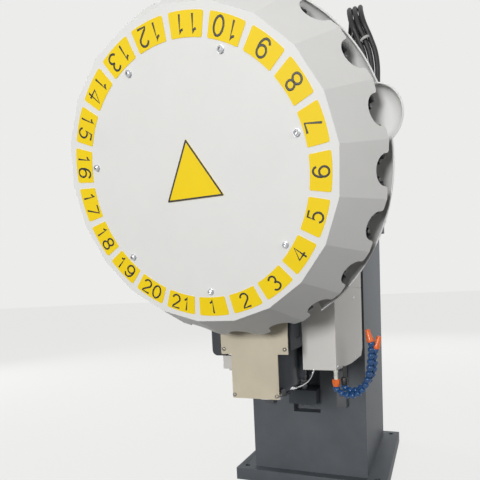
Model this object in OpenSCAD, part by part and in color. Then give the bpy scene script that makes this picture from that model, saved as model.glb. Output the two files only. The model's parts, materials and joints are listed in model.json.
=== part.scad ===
/* [Turret] */
// Radius to the corners of the cover's front face
face_r = 260; // [250:1:264]
// Radius to the corners of the cover's rear rim
rim_r = 324; // [318:1:330]
// Depth of the cover from its front face to its rear rim
cover_depth = 104; // [100:1:108]
// Thickness of the cover's skin
cover_wall = 3; // [2:0.5:3.5]
// Tilt of the turret's axis, so that the lowest tool hangs upright
tilt = 13.2; // [12:0.1:14]
// Radius of the window that each tool's flange passes through
window_r = 26.5; // [25:0.5:28]
// Radius of the circle of cover screws
cover_screw_r = 199.7; // [190:0.1:203]
// Inner radius of the ring of number tags
tag_inner_r = 210.5; // [208:0.5:214]
// Outer radius of the ring of number tags
tag_outer_r = 246.5; // [240:0.5:250]
// Thickness of a number tag
tag_t = 0.6; // [0.4:0.1:1]

/* [Grippers] */
// Radius of the groove that the jaws hold
groove_r = 19.3; // [18:0.1:20]
// Width of a jaw's curved limb
jaw_w = 8; // [6:0.5:9]
// Thickness of a jaw
jaw_t = 8; // [6:0.5:9]
// Radius of a claw's pin
pin_r = 3; // [2.5:0.1:3.5]
// Running clearance of a pin in its bore
pin_fit = 0.05; // [0.03:0.01:0.1]
// Radius of the boss round a claw's bore
boss_r = 9; // [8.5:0.5:9.5]

/* [Rear guard] */
// How far the guard's edge stands out past the cover's rim
guard_out = 4; // [2:1:8]
// Depth of the guard's edge behind the front face
guard_depth = 130; // [126:1:132]
// Depth of the guard's flat back
dish_depth = 150; // [148:1:153]
// Thickness of the guard's sheet
guard_t = 2; // [1.5:0.5:3]
// Half angle of the gap in the guard at the spindle
guard_gap = 32; // [30:1:34]

/* [Turret drive] */
// Radius of the gear housing
gear_r = 118; // [105:1:122]
// Depth of the gear housing along the turret's axis
gear_depth = 40; // [36:1:42]
// Radius of the turret's shaft
shaft_r = 30; // [26:1:34]
// Side of the square turret motor
turret_motor_w = 80; // [70:1:84]
// Length of the turret motor
turret_motor_l = 150; // [120:1:170]

/* [Head] */
// Half width of the front plate above its step
plate_half_w = 83.5; // [80:0.5:86]
// Half width of the front plate below its step
plate_low_half_w = 58; // [54:0.5:60]
// Thickness of the front plate
plate_t = 3; // [2:0.5:4]
// Half width of the head casting
head_half_w = 88; // [86:0.5:90]
// Radius of the spindle's outer housing
spindle_r = 74; // [70:1:75]
// Radius of the spindle's nose flange
nose_flange_r = 83; // [81:1:83.5]
// Radius of the turning spindle
spindle_shaft_r = 38; // [34:1:42]
// Large radius of the spindle's tapered socket
taper_r = 15.88; // [15:0.01:17]
// Depth of the spindle's tapered socket
taper_depth = 48.4; // [46:0.1:50]

/* [Column] */
// Width of the column
column_w = 380; // [370:2:384]
// Depth of the column
column_depth = 440; // [400:5:480]
// Height of the column
column_h = 1150; // [1120:5:1180]
// Drop from the column's top to the middle of the turret's face
turret_drop = 320; // [310:5:340]
// Distance from the turret's face back to the column's face
column_gap = 640; // [630:5:660]
// Wall of the column casting
column_wall = 28; // [20:1:34]
// Distance of the foot bolts either side of the middle, across
foot_bolt_x = 220; // [215:1:222]
// Distance of the foot bolts either side of the middle, front to back
foot_bolt_y = 220; // [190:1:230]
// Radius of the foot bolt holes
foot_bolt_r = 9; // [7:0.5:11]
// Thickness of the foot flange
foot_t = 40; // [30:1:50]
// Distance between the two vertical rails
rail_gap = 240; // [220:2:250]
// Width of a rail
rail_w = 30; // [25:1:35]
// Height of a rail from the column's face
rail_h = 28; // [26:1:30]

/* [Vertical drive] */
// Radius of the ball screw
screw_r = 14; // [12:0.5:16]
// Side of the square lift motor
lift_motor_w = 130; // [110:2:140]
// Length of the lift motor
lift_motor_l = 190; // [150:5:220]

/* [Hidden] */
stations = 21;
step_a = 360 / stations;
fit_gap = 0.3;
disc = [0, -860, column_h - turret_drop];
corner_cos = cos(180 / stations);
face_apothem = face_r * corner_cos;
rim_apothem = rim_r * corner_cos;
slope_run = rim_apothem - face_apothem;
slant = sqrt(slope_run * slope_run + cover_depth * cover_depth);
slope_a = atan2(slope_run, cover_depth);
skin_run = cover_wall / cos(slope_a);
window_s = slant - 5.5;
window_fillet = 8;
window_lip = 1;
window_rho = face_apothem + window_s * sin(slope_a);
window_z = window_s * cos(slope_a);
jaw_out_r = groove_r + jaw_w;
pivot_x = -31;
pivot_y = 14;
pin_head_r = pin_r + 2;
pin_head_t = 1.2;
lug_t = 6;
arm_front = -42;
skin_gap = 1.2;
grip_inset = max(skin_inset(arm_front, jaw_t / 2),
    skin_inset(pivot_x - pin_head_r, jaw_t / 2 + fit_gap + pin_head_t));
grip_rho = window_rho - grip_inset * cos(tilt);
grip_z = window_z + grip_inset * sin(tilt);
arm_back = -26;
lug_half_w = pivot_y + boss_r + 1;
arm_half_w = 15;
carrier_front = 30;
carrier_back = 60;
carrier_r = 238;
foot_in_r = 200;
foot_back = 74;
shaft_front = 14;
gear_front = dish_depth;
gear_back = gear_front + gear_depth;
swing_y = 185;
swing_z = 70;
swing_r = 28;
arm_in_x = column_w / 2 + 20;
arm_out_x = arm_in_x + 30;
arm_low_z = 20;
arm_high_z = 120;
arm_knee_y = column_gap - 160;
arm_heel_y = column_gap - 40;
arm_end_y = column_gap + 150;
arm_pad_y = column_gap + 8;
arm_bolt_y = [column_gap + 40, column_gap + 120];
arm_window_y = [swing_y + 75, column_gap - 170, column_gap - 80];
column_front = disc[1] + column_gap;
column_back = column_front + column_depth;
plate_front = 231;
plate_back = plate_front + plate_t;
head_front = 246;
guide_crown = 16;
head_back = column_gap - rail_h - guide_crown;
head_low = -333;
head_high = -20;
spindle_y = 318;
nose_z = -460;
flange_top_z = -412;
flange_low_z = -440;
plate_step_z = -340;
plate_low_z = -444;
plate_top_z = -60;
tag_half_a = 7.25;
tag_corner = 3;
washer_r = 6;
washer_t = 1;
head_r = 5.2;
screw_shank_r = 3;
screw_l = 12;
sign_r = 63.2;
sign_corner = 4;
sign_t = 1;
hub_front = 22;
hub_back = 78;
hub_r = shaft_r + 24;
web_front = 38;
web_back = 52;
web_hole_at = 122;
web_hole_r = 26;
carrier_in_r = 190;
shaft_end = dish_depth + 20;
lug_back = -24.5;
jaw_tip_a = 30;
claw_root_a = 150;
fixed_root_a = 168;
spring_pocket = 3;
spring_wire = 0.6;
guard_gap_r = 195;
guard_r = rim_r + guard_out;
scoop_at = guard_r - 25;
scoop_r = 46;
scoop_low_r = 26;
scoop_h = dish_depth - guard_depth;
scoop_lip = 0.4;
bracket_reach = 150;
motor_seat_w = turret_motor_w;
motor_seat_y = gear_r + 8;
motor_z = dish_depth + 2 + turret_motor_w / 2;
roller_x = 40;
roller_y = gear_r + 10;
roller_z = gear_back - 18;
roller_r = 14;
roller_pin_r = 5;
pivot_r = 14;
tube_half_l = arm_in_x - fit_gap;
arm_eye_r = 34;
clamp_y = 325;
clamp_l = 38;
cable_r = 5.5;
cable_offsets = [[-12, 0, 0], [0, 0, 0], [12, 0, 0]];
cable_route = [[258, 320, 84], [258, 320, 110], [264, 319, 165], [269, 317, 230], [268, 315, 297],
    [257, 312, 335],
    [245, 306, 365], [236, 322, 402], [228, 380, 440], [212, 470, 452], [180, 560, 425], [156, 630, 375],
    [150, 660, 365], [150, 704, 365]];
column_top = turret_drop;
box_wall = 6;
box_y = column_gap + 60;
box_l = 100;
box_h = 90;
gland_r = cable_r + 3;
gland_l = 10;
lift_bracket_half = 80;
lift_bracket_t = 16;
lift_cheek_t = 14;
foot_w = 500;
foot_d = 500;
window_heights = [200, 510, 820];
window_h = 240;
channel_w = 90;
channel_depth = 40;
rail_high_z = column_h - 20;
guide_z = [-90, -270];
guide_half_w = 34;
guide_half_l = 45;
screw_y = column_gap - 20;
nut_z = -210;
drawbar_r = 6.5;
pocket_t = 4;
saddle_half_w = 165;
lug_front = 250;
side_seam_z = -195;
side_seam = 1.2;
screw_low = -560;
rail_low_z = disc[2] + screw_low;
screw_top = 255;
screw_high = 340;
coupling_r = 20;
motor_shaft_r = 9.5;
motor_seat_z = screw_high + 48;
cartridge_r = 62;
cartridge_top = -40;
nose_low_z = -452;
nose_r = 32;
socket_end_r = taper_r - taper_depth * 7 / 48;
spindle_top = -50;
spindle_motor_w = 130;
spindle_motor_l = 200;
side_x = 171;
side_front = 325;
side_back = 530;
side_flare_x = 201;
side_low = -391;
side_high = -80;
ball_r = 6.6;
neck_r = 4.2;
hose_a = [[166, 340, -438], [177, 340, -447], [190, 339, -452], [204, 337, -452], [217, 335, -447],
    [228, 333, -438],
    [236, 331, -426], [241, 330, -413], [244, 330, -399], [246, 330, -385], [247, 330, -371],
    [248, 330, -357],
    [248, 330, -343], [248, 330, -329]];
hose_b = [[184, 352, -436], [196, 352, -443], [210, 350, -443], [223, 348, -437], [234.5, 348, -428.5],
    [245, 347, -418.5], [253, 346, -406.5], [258.5, 344, -393.5], [261.5, 341.5, -380], [262.5, 339.5, -366],
    [266, 338.5, -352.5]];
nozzle_aims = [[-3, -1, 13.5], [4, -1, 13.5]];

function rho_x(rho, z) = (rho - grip_rho) * sin(tilt) + (z - grip_z) * cos(tilt);
function rho_z(rho, z) = (rho - grip_rho) * cos(tilt) - (z - grip_z) * sin(tilt);
function ring_point(r, i, z) = [r * cos((i + 0.5) * step_a - 90), r * sin((i + 0.5) * step_a - 90), z];
function apothem_at(z) = face_apothem + z * tan(slope_a);
function skin_inset(x, z) = z + (x * (sin(tilt) - cos(tilt) * tan(slope_a)) + skin_gap + skin_run)
    / (cos(tilt) + sin(tilt) * tan(slope_a));

CLAWS = [for (i = [1 : stations]) str("claw_", i < 10 ? "0" : "", i)];

module disc_frame() translate(disc) children();
module turret_frame() disc_frame() rotate([90 + tilt, 0, 0]) children();
module station_frame(i) turret_frame() rotate([0, 0, (i - 1) * step_a - 90]) children();
module grip_frame(i) station_frame(i) translate([grip_rho, 0, -grip_z]) rotate([0, 90 - tilt, 0]) children();
module x_cylinder(r, l) rotate([0, 90, 0]) cylinder(r = r, h = l, $fn = 64);
module block(x0, x1, y0, y1, z0, z1) translate([x0, y0, z0]) cube([x1 - x0, y1 - y0, z1 - z0]);
module round_rect(w, h, r) {
    square([w - 2 * r, h], center = true);
    square([w, h - 2 * r], center = true);
    for (sx = [-1, 1], sy = [-1, 1]) translate([sx * (w / 2 - r), sy * (h / 2 - r)]) circle(r, $fn = 32);
}
module button_screw(r) {
    cylinder(r = r, h = r * 0.55, $fn = 32);
    translate([0, 0, r * 0.5]) intersection() {
        translate([0, 0, -r * 1.1]) sphere(r = r * 1.5, $fn = 48);
        cylinder(r = r, h = r * 0.5, $fn = 32);
    }
}

module frustum(r_front, r_back, z_front, z_back) {
    front = [for (i = [0 : stations - 1]) ring_point(r_front, i, -z_front)];
    back = [for (i = [0 : stations - 1]) ring_point(r_back, i, -z_back)];
    sides = [for (i = [0 : stations - 1]) let (j = (i + 1) % stations) [i, j, j + stations, i + stations]];
    polyhedron(points = concat(front, back), faces = concat(sides,
        [[for (i = [stations - 1 : -1 : 0]) i]], [[for (i = [0 : stations - 1]) stations + i]]));
}

module window_outline() {
    run = slant - window_s + 12;
    rim_at = slant - window_s + window_lip;
    circle(window_r, $fn = 64);
    translate([0, -window_r]) square([run, 2 * window_r]);
    for (s = [-1, 1]) difference() {
        translate([rim_at - window_fillet, s > 0 ? window_r - 1 : -window_r - window_fillet])
            square([run, window_fillet + 1]);
        translate([rim_at - window_fillet, s * (window_r + window_fillet)]) circle(window_fillet, $fn = 32);
    }
}

module cover_windows()
    for (i = [1 : stations]) rotate([0, 0, (i - 1) * step_a - 90])
        translate([window_rho, 0, -window_z]) rotate([0, 90 - slope_a, 0])
            translate([0, 0, -cover_wall * 3]) linear_extrude(cover_wall * 6) window_outline();

module front_cover() color([0.91, 0.91, 0.9]) turret_frame() difference() {
    frustum(face_r, rim_r, 0, cover_depth);
    frustum((apothem_at(cover_wall) - skin_run) / corner_cos,
        (apothem_at(cover_depth + 1) - skin_run) / corner_cos,
        cover_wall, cover_depth + 1);
    cover_windows();
    for (k = [0 : 6]) rotate([0, 0, k * 3 * step_a - 90]) translate([cover_screw_r, 0, -cover_wall - 1])
        cylinder(r = pin_r + 0.4, h = cover_wall + 2, $fn = 32);
}

module sector(r0, r1, half_a) intersection() {
    difference() {
        circle(r1, $fn = 180);
        circle(r0, $fn = 180);
    }
    polygon([[0, 0], [2 * r1 * cos(half_a), -2 * r1 * sin(half_a)],
        [2 * r1 * cos(half_a), 2 * r1 * sin(half_a)]]);
}

module tag_outline() {
    corner_a = asin(2 * tag_corner / (tag_inner_r + tag_outer_r));
    sector(tag_inner_r, tag_outer_r, tag_half_a - corner_a);
    sector(tag_inner_r + tag_corner, tag_outer_r - tag_corner, tag_half_a);
    for (s = [-1, 1], r = [tag_inner_r + tag_corner, tag_outer_r - tag_corner])
        rotate(s * (tag_half_a - corner_a)) translate([r, 0]) circle(tag_corner, $fn = 24);
}

module station_tags() color([0.96, 0.84, 0.18])
    for (i = [1 : stations]) station_frame(i) linear_extrude(tag_t) tag_outline();

module cover_screws() color([0.62, 0.62, 0.64])
    for (k = [0 : 6]) station_frame(1 + 3 * k) translate([cover_screw_r, 0, 0]) {
        cylinder(r = washer_r, h = washer_t, $fn = 48);
        translate([0, 0, washer_t]) difference() {
            button_screw(head_r);
            translate([0, 0, 1]) cylinder(r = 2.3, h = head_r, $fn = 6);
        }
        translate([0, 0, -screw_l]) cylinder(r = screw_shank_r, h = screw_l + washer_t, $fn = 32);
    }

module sign_plate() color([0.96, 0.84, 0.18]) turret_frame() linear_extrude(sign_t) {
    corner_at = sign_r - 2 * sign_corner;
    polygon([for (a = [90, 210, 330], d = [-60, 60])
        [corner_at * cos(a) + sign_corner * cos(a + d), corner_at * sin(a) + sign_corner * sin(a + d)]]);
    for (a = [90, 210, 330]) rotate(a) translate([corner_at, 0]) circle(sign_corner, $fn = 32);
}

module carrier_disc() color([0.2, 0.21, 0.23]) turret_frame() {
    difference() {
        rotate_extrude($fn = 180) polygon([
            [shaft_r + pin_fit, -hub_front], [hub_r, -hub_front], [hub_r + 12, -web_front],
                [carrier_in_r - 8, -web_front],
            [carrier_in_r, -carrier_front], [carrier_r - 3, -carrier_front], [carrier_r, -carrier_front - 3],
            [carrier_r, -carrier_back], [carrier_in_r, -carrier_back], [carrier_in_r - 6, -web_back],
            [hub_r + 8, -web_back], [hub_r, -hub_back], [shaft_r + pin_fit, -hub_back]]);
        for (k = [0 : 6]) rotate([0, 0, (k + 0.5) * 3 * step_a - 90])
            translate([web_hole_at, 0, -web_back - 1])
            cylinder(r = web_hole_r, h = web_back - web_front + 2, $fn = 64);
    }
    for (k = [0 : 6]) rotate([0, 0, k * 3 * step_a - 90]) translate([cover_screw_r, 0, 0]) difference() {
        translate([0, 0, -carrier_front - 1]) cylinder(r = 7, h = carrier_front + 1 - cover_wall, $fn = 48);
        translate([0, 0, -screw_l - 2]) cylinder(r = screw_shank_r + pin_fit, h = screw_l, $fn = 32);
    }
}

module turret_shaft() color([0.6, 0.61, 0.63]) turret_frame() difference() {
    union() {
        translate([0, 0, -shaft_end]) cylinder(r = shaft_r, h = shaft_end - shaft_front, $fn = 96);
        translate([0, 0, -hub_front]) cylinder(r = hub_r - 6, h = hub_front - shaft_front, $fn = 96);
    }
    translate([0, 0, -shaft_end - 1]) cylinder(r = shaft_r / 2, h = shaft_end, $fn = 64);
    for (a = [0 : 60 : 300]) rotate([0, 0, a]) translate([shaft_r + 8, 0, -shaft_front - 5])
        cylinder(r = 4, h = 10, $fn = 32);
}

module jaw_limb(root_a) intersection() {
    difference() {
        circle(jaw_out_r, $fn = 96);
        circle(groove_r, $fn = 96);
    }
    polygon([[0, 0], [60 * cos(jaw_tip_a), 60 * sin(jaw_tip_a)], [30, 60], [-60, 60],
        [-60, 60 * tan(180 - root_a)]]);
}

module gripper_arm() {
    lug_top = -jaw_t / 2 - fit_gap;
    difference() {
        union() {
            rotate([90, 0, 0]) translate([0, 0, -arm_half_w]) linear_extrude(2 * arm_half_w) polygon([
                [arm_front, lug_top], [arm_back, lug_top], [arm_back, -60],
                [rho_x(foot_in_r, foot_back), rho_z(foot_in_r, foot_back)],
                [rho_x(foot_in_r, carrier_back), rho_z(foot_in_r, carrier_back)],
                [rho_x(carrier_r, carrier_back), rho_z(carrier_r, carrier_back)]]);
            translate([(arm_front + lug_back) / 2, 0, lug_top - lug_t]) linear_extrude(lug_t)
                round_rect(lug_back - arm_front, 2 * lug_half_w, 4);
        }
        translate([pivot_x, -pivot_y, lug_top - lug_t])
            cylinder(r = pin_r + pin_fit, h = lug_t + 1, $fn = 48);
    }
    difference() {
        translate([0, 0, lug_top - 1]) linear_extrude(jaw_t / 2 + 1 - lug_top) difference() {
            translate([arm_front, 1]) square([lug_back - arm_front, lug_half_w - 1]);
            circle(jaw_out_r - 2, $fn = 96);
        }
        translate([pivot_x, pivot_y, 0]) cylinder(r = 2.5, h = jaw_t, $fn = 32);
    }
    translate([0, 0, -jaw_t / 2]) linear_extrude(jaw_t) jaw_limb(fixed_root_a);
}

module gripper_arms() color([0.16, 0.17, 0.19]) for (i = [1 : stations]) grip_frame(i) gripper_arm();

module claw_body() difference() {
    translate([0, 0, -jaw_t / 2]) linear_extrude(jaw_t) {
        mirror([0, 1]) jaw_limb(claw_root_a);
        difference() {
            union() {
                translate([pivot_x, -pivot_y]) circle(boss_r, $fn = 64);
                translate([pivot_x, -pivot_y - boss_r]) square([17, boss_r + 3]);
            }
            circle(jaw_out_r - 2, $fn = 96);
        }
    }
    translate([pivot_x, -pivot_y, -jaw_t]) cylinder(r = pin_r + pin_fit, h = 2 * jaw_t, $fn = 48);
    translate([pivot_x, -pivot_y, jaw_t / 2 - spring_pocket]) cylinder(r = boss_r - 2.8, h = jaw_t, $fn = 48);
}

module claw(i) color([0.22, 0.23, 0.25]) grip_frame(i) claw_body();

module claw_pins() color([0.62, 0.62, 0.64]) for (i = [1 : stations]) grip_frame(i)
    translate([pivot_x, -pivot_y, 0]) {
        low = -jaw_t / 2 - fit_gap - lug_t;
        translate([0, 0, low]) cylinder(r = pin_r, h = jaw_t / 2 + fit_gap - low, $fn = 48);
        translate([0, 0, jaw_t / 2 + fit_gap]) cylinder(r = pin_head_r, h = pin_head_t, $fn = 48);
    }

module claw_springs() color([0.62, 0.62, 0.64]) for (i = [1 : stations]) grip_frame(i)
    translate([pivot_x, -pivot_y, jaw_t / 2 - spring_pocket + 0.3]) rotate_extrude($fn = 48)
        for (turn = [0, 1]) translate([(pin_r + boss_r - 2.8) / 2, spring_wire + turn * spring_wire * 1.8])
            circle(spring_wire, $fn = 24);

module rear_guard() color([0.9, 0.9, 0.89]) difference() {
    turret_frame() {
        difference() {
            rotate_extrude($fn = 180) polygon([
                [shaft_r + 4, guard_t - dish_depth], [guard_r - 26, guard_t - dish_depth],
                [guard_r - 10, 10 - dish_depth], [guard_r - guard_t, -guard_depth], [guard_r, -guard_depth],
                [guard_r - 8, 9 - dish_depth], [guard_r - 25, -dish_depth], [shaft_r + 4, -dish_depth]]);
            translate([0, 0, -dish_depth - 1]) linear_extrude(dish_depth) difference() {
                rotate(-90) polygon([[0, 0], [2 * guard_r, -2 * guard_r * tan(guard_gap)],
                    [2 * guard_r, 2 * guard_r * tan(guard_gap)]]);
                circle(guard_gap_r, $fn = 96);
            }
            scoop_place() rotate_extrude($fn = 96)
                polygon([[0, 0.5 - scoop_h], [scoop_low_r, 0.5 - scoop_h], [scoop_r - 1, 0],
                    [scoop_r - 1, 40], [0, 40]]);
        }
        scoop_place() rotate_extrude($fn = 96) polygon([
            [0, -scoop_h], [scoop_low_r, -scoop_h], [scoop_r, -scoop_lip], [scoop_r - guard_t, -scoop_lip],
            [scoop_low_r - guard_t / 2, guard_t - scoop_h], [0, guard_t - scoop_h]]);
    }
}

module scoop_place() rotate([0, 0, 6 * step_a - 90]) translate([scoop_at, 0, -guard_depth]) children();

module guard_brackets() color([0.75, 0.75, 0.76]) turret_frame() for (a = [45, 135, 180, 0])
    rotate([0, 0, a]) translate([gear_r, -12, -dish_depth - 4]) difference() {
        cube([bracket_reach, 24, 4]);
        for (x = [20, bracket_reach - 14]) translate([x, 12, -1]) cylinder(r = 4, h = 6, $fn = 32);
    }

module carriage_housing() color([0.45, 0.47, 0.5]) difference() {
    union() {
        turret_frame() {
            translate([0, 0, -gear_back]) cylinder(r = gear_r, h = gear_depth, $fn = 120);
            translate([-motor_seat_w / 2, 0, -motor_z - motor_seat_w / 2])
                cube([motor_seat_w, motor_seat_y, motor_z + motor_seat_w / 2 - gear_front]);
            for (s = [-1, 1]) translate([s * roller_x - 26, -roller_y - 12, -gear_back + 4])
                cube([12, roller_y + 12 - gear_r * 0.8, gear_depth - 10]);
            for (s = [-1, 1]) translate([s * roller_x + 14, -roller_y - 12, -gear_back + 4])
                cube([12, roller_y + 12 - gear_r * 0.8, gear_depth - 10]);
        }
        disc_frame() {
            translate([-tube_half_l, swing_y, swing_z]) x_cylinder(swing_r, 2 * tube_half_l);
            for (s = [-1, 1]) translate([s * 84 - 7, 0, 0]) rotate([90, 0, 90]) linear_extrude(14) polygon([
                [swing_y - 12, swing_z + 25], [swing_y + 22, swing_z], [swing_y + 22, swing_z - 90],
                [swing_y - 4, swing_z - 90], [swing_y - 30, swing_z]]);
        }
    }
    disc_frame() translate([-tube_half_l - 1, swing_y, swing_z])
        x_cylinder(pivot_r + pin_fit, 2 * tube_half_l + 2);
    turret_frame() {
        translate([0, 0, -shaft_end - 1])
            cylinder(r = shaft_r + pin_fit, h = shaft_end + 2 - gear_front, $fn = 96);
        translate([0, 0, -gear_back - 60]) cylinder(r = gear_r * 1.6, h = 60 - 52, $fn = 64);
        for (s = [-1, 1]) translate([s * roller_x - 30, -roller_y, -roller_z])
            x_cylinder(roller_pin_r + pin_fit, 60);
    }
}

module turret_motor() color([0.12, 0.12, 0.13]) turret_frame() translate([0, motor_seat_y, -motor_z])
    rotate([-90, 0, 0]) {
    translate([-turret_motor_w / 2, -turret_motor_w / 2, 0]) cube([turret_motor_w, turret_motor_w, 12]);
    translate([0, 0, 11]) linear_extrude(turret_motor_l - 40)
        round_rect(turret_motor_w - 6, turret_motor_w - 6, 8);
    translate([0, 0, turret_motor_l - 30]) linear_extrude(30)
        round_rect(turret_motor_w - 14, turret_motor_w - 14, 10);
    translate([turret_motor_w / 2 - 6, -14, turret_motor_l - 56]) cube([22, 28, 22]);
}

module swing_rollers() color([0.6, 0.61, 0.63]) turret_frame() for (s = [-1, 1])
    translate([s * roller_x, -roller_y, -roller_z]) {
        translate([-13, 0, 0]) x_cylinder(roller_r, 26);
        translate([-27, 0, 0]) x_cylinder(roller_pin_r, 54);
    }

module pivot_shaft() color([0.6, 0.61, 0.63]) disc_frame() {
    translate([-arm_out_x, swing_y, swing_z]) x_cylinder(pivot_r, 2 * arm_out_x);
    for (s = [-1, 1]) translate([s > 0 ? arm_out_x : -arm_out_x - 6, swing_y, swing_z])
        x_cylinder(pivot_r + 8, 6);
}

module turret_bracket() color([0.3, 0.32, 0.35]) disc_frame() for (s = [-1, 1]) {
    difference() {
        union() {
            translate([s > 0 ? arm_in_x : -arm_out_x, 0, 0]) rotate([90, 0, 90])
                linear_extrude(arm_out_x - arm_in_x) difference() {
                union() {
                    translate([swing_y, swing_z]) circle(arm_eye_r, $fn = 96);
                    polygon([[swing_y, swing_z - arm_eye_r + 4], [swing_y, swing_z + arm_eye_r - 4],
                        [arm_knee_y, arm_high_z], [arm_end_y, arm_high_z + 60], [arm_end_y, arm_low_z - 40],
                        [arm_heel_y, arm_low_z - 40], [arm_knee_y, arm_low_z]]);
                }
                polygon([[arm_window_y[0], swing_z - 18], [arm_window_y[0], swing_z + 18],
                    [arm_window_y[1], arm_high_z - 28], [arm_window_y[2], arm_high_z - 28],
                    [arm_window_y[2], arm_low_z + 20], [arm_window_y[1], arm_low_z + 24]]);
            }
            block(s > 0 ? column_w / 2 : -arm_in_x - 1, s > 0 ? arm_in_x + 1 : -column_w / 2, arm_pad_y,
                arm_end_y,
                arm_low_z - 40, arm_high_z + 60);
        }
        translate([s > 0 ? arm_in_x - 1 : -arm_out_x - 1, swing_y, swing_z])
            x_cylinder(pivot_r + pin_fit, arm_out_x - arm_in_x + 2);
        for (y = arm_bolt_y, z = [arm_low_z, arm_high_z + 20])
            translate([s > 0 ? column_w / 2 - 1 : -arm_out_x - 1, y, z])
                x_cylinder(8, arm_out_x - column_w / 2 + 2);
    }
    if (s > 0) block(arm_out_x - 1, arm_out_x + clamp_l, clamp_y - 16, clamp_y + 16, 52, cable_route[0][2]);
}

function tube_ring(p, d, r) = let (
    t = d / norm(d), side = cross(t, [1, 0, 0.01]), a = side / norm(side), b = cross(t, a))
    [for (k = [0 : 7]) p + r * (cos(k * 45) * a + sin(k * 45) * b)];

module cable(route, r) {
    last = len(route) - 1;
    rings = [for (i = [0 : last])
        each tube_ring(route[i], route[min(i + 1, last)] - route[max(i - 1, 0)], r)];
    polyhedron(points = rings, faces = concat(
        [[for (k = [0 : 7]) k]],
        [for (i = [0 : last - 1], k = [0 : 7]) let (a = i * 8 + k, b = i * 8 + (k + 1) % 8)
        [a, a + 8, b + 8, b]],
        [[for (k = [7 : -1 : 0]) last * 8 + k]]));
}

module conduit_cables() color([0.05, 0.05, 0.06]) disc_frame() for (offset = cable_offsets)
    cable([for (p = cable_route) p + offset], cable_r);

module junction_box() color([0.14, 0.15, 0.17]) disc_frame() {
    left = lift_bracket_half + 6;
    right = column_w / 2 - 2;
    cable_end = cable_route[len(cable_route) - 1];
    difference() {
        union() {
            block(left, right, box_y, box_y + box_l, column_top, column_top + box_h);
            for (offset = cable_offsets) translate([cable_end[0] + offset[0], box_y - gland_l, cable_end[2]])
                rotate([-90, 0, 0]) cylinder(r = gland_r, h = gland_l + 0.5, $fn = 32);
        }
        block(left + box_wall, right - box_wall, box_y + box_wall, box_y + box_l - box_wall,
            column_top + box_wall, column_top + box_h - box_wall);
        for (offset = cable_offsets) translate([cable_end[0] + offset[0], box_y - gland_l - 1, cable_end[2]])
            rotate([-90, 0, 0]) cylinder(r = cable_r + fit_gap, h = gland_l + box_wall + 2, $fn = 32);
    }
}

module column_casting() color([0.32, 0.34, 0.37]) difference() {
    union() {
        block(-column_w / 2, column_w / 2, column_front, column_back, 0, column_h);
        block(-foot_w / 2, foot_w / 2, -foot_d / 2, foot_d / 2, 0, foot_t);
    }
    block(-column_w / 2 + column_wall, column_w / 2 - column_wall, column_front + channel_depth + column_wall,
        column_back - column_wall, -1, column_h - column_wall);
    block(-channel_w / 2, channel_w / 2, column_front - 1, column_front + channel_depth, rail_low_z - 30,
        column_h + 1);
    for (z = window_heights) translate([0, column_back - column_wall - 1, z]) rotate([-90, 0, 0])
        linear_extrude(column_wall + 2) round_rect(column_w - 180, window_h, 40);
    for (sx = [-1, 1], sy = [-1, 1]) translate([sx * foot_bolt_x, sy * foot_bolt_y, -1])
        cylinder(r = foot_bolt_r, h = foot_t + 2, $fn = 48);
}

module z_rails() color([0.66, 0.67, 0.69]) for (s = [-1, 1]) difference() {
    translate([s * rail_gap / 2, column_front, rail_low_z]) rotate([0, 0, 180]) translate([-rail_w / 2, 0, 0])
        linear_extrude(rail_high_z - rail_low_z) polygon([[0, 0], [rail_w, 0], [rail_w, rail_h * 0.35],
            [rail_w - 4, rail_h * 0.5], [rail_w - 4, rail_h * 0.62], [rail_w, rail_h * 0.75],
            [rail_w, rail_h],
            [0, rail_h], [0, rail_h * 0.75], [4, rail_h * 0.62], [4, rail_h * 0.5], [0, rail_h * 0.35]]);
    for (z = [rail_low_z + 40 : 80 : rail_high_z - 30])
        translate([s * rail_gap / 2, column_front - rail_h - 1, z])
        rotate([-90, 0, 0]) cylinder(r = 7, h = 10, $fn = 32);
}

module guide_blocks() color([0.5, 0.52, 0.55]) disc_frame() for (s = [-1, 1], z = guide_z)
    translate([s * rail_gap / 2, 0, z]) difference() {
        block(-guide_half_w, guide_half_w, head_back, column_gap - 4, -guide_half_l, guide_half_l);
        block(-rail_w / 2 - fit_gap, rail_w / 2 + fit_gap, column_gap - rail_h - fit_gap, column_gap,
            -guide_half_l - 1, guide_half_l + 1);
    }

module z_ballscrew() color([0.66, 0.67, 0.69]) disc_frame() translate([0, screw_y, screw_low]) difference() {
    union() {
        cylinder(r = screw_r - 4, h = screw_high - screw_low, $fn = 64);
        translate([0, 0, 60]) cylinder(r = screw_r, h = screw_top - screw_low - 60, $fn = 64);
    }
    translate([0, 0, screw_high - screw_low - 20]) translate([screw_r - 6, -3, 0]) cube([5, 6, 21]);
}

module z_coupling() color([0.7, 0.7, 0.72]) disc_frame() translate([0, screw_y, screw_high - 24])
    difference() {
    cylinder(r = coupling_r, h = 56, $fn = 64);
    translate([0, 0, -1]) cylinder(r = screw_r - 4 + pin_fit, h = 25.5, $fn = 64);
    translate([0, 0, 31]) cylinder(r = motor_shaft_r + 0.2, h = 26, $fn = 64);
    for (z = [26, 30]) translate([2, -coupling_r, z]) cube([coupling_r, 2 * coupling_r, 1.5]);
}

module z_bearings() color([0.4, 0.42, 0.45]) disc_frame() for (z = [screw_low + 8, screw_top + fit_gap])
    difference() {
    block(-channel_w / 2 + fit_gap, channel_w / 2 - fit_gap, screw_y - 26, column_gap + channel_depth, z,
        z + 44);
    translate([0, screw_y, z - 1]) cylinder(r = screw_r - 4 + pin_fit, h = 46, $fn = 64);
}

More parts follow.
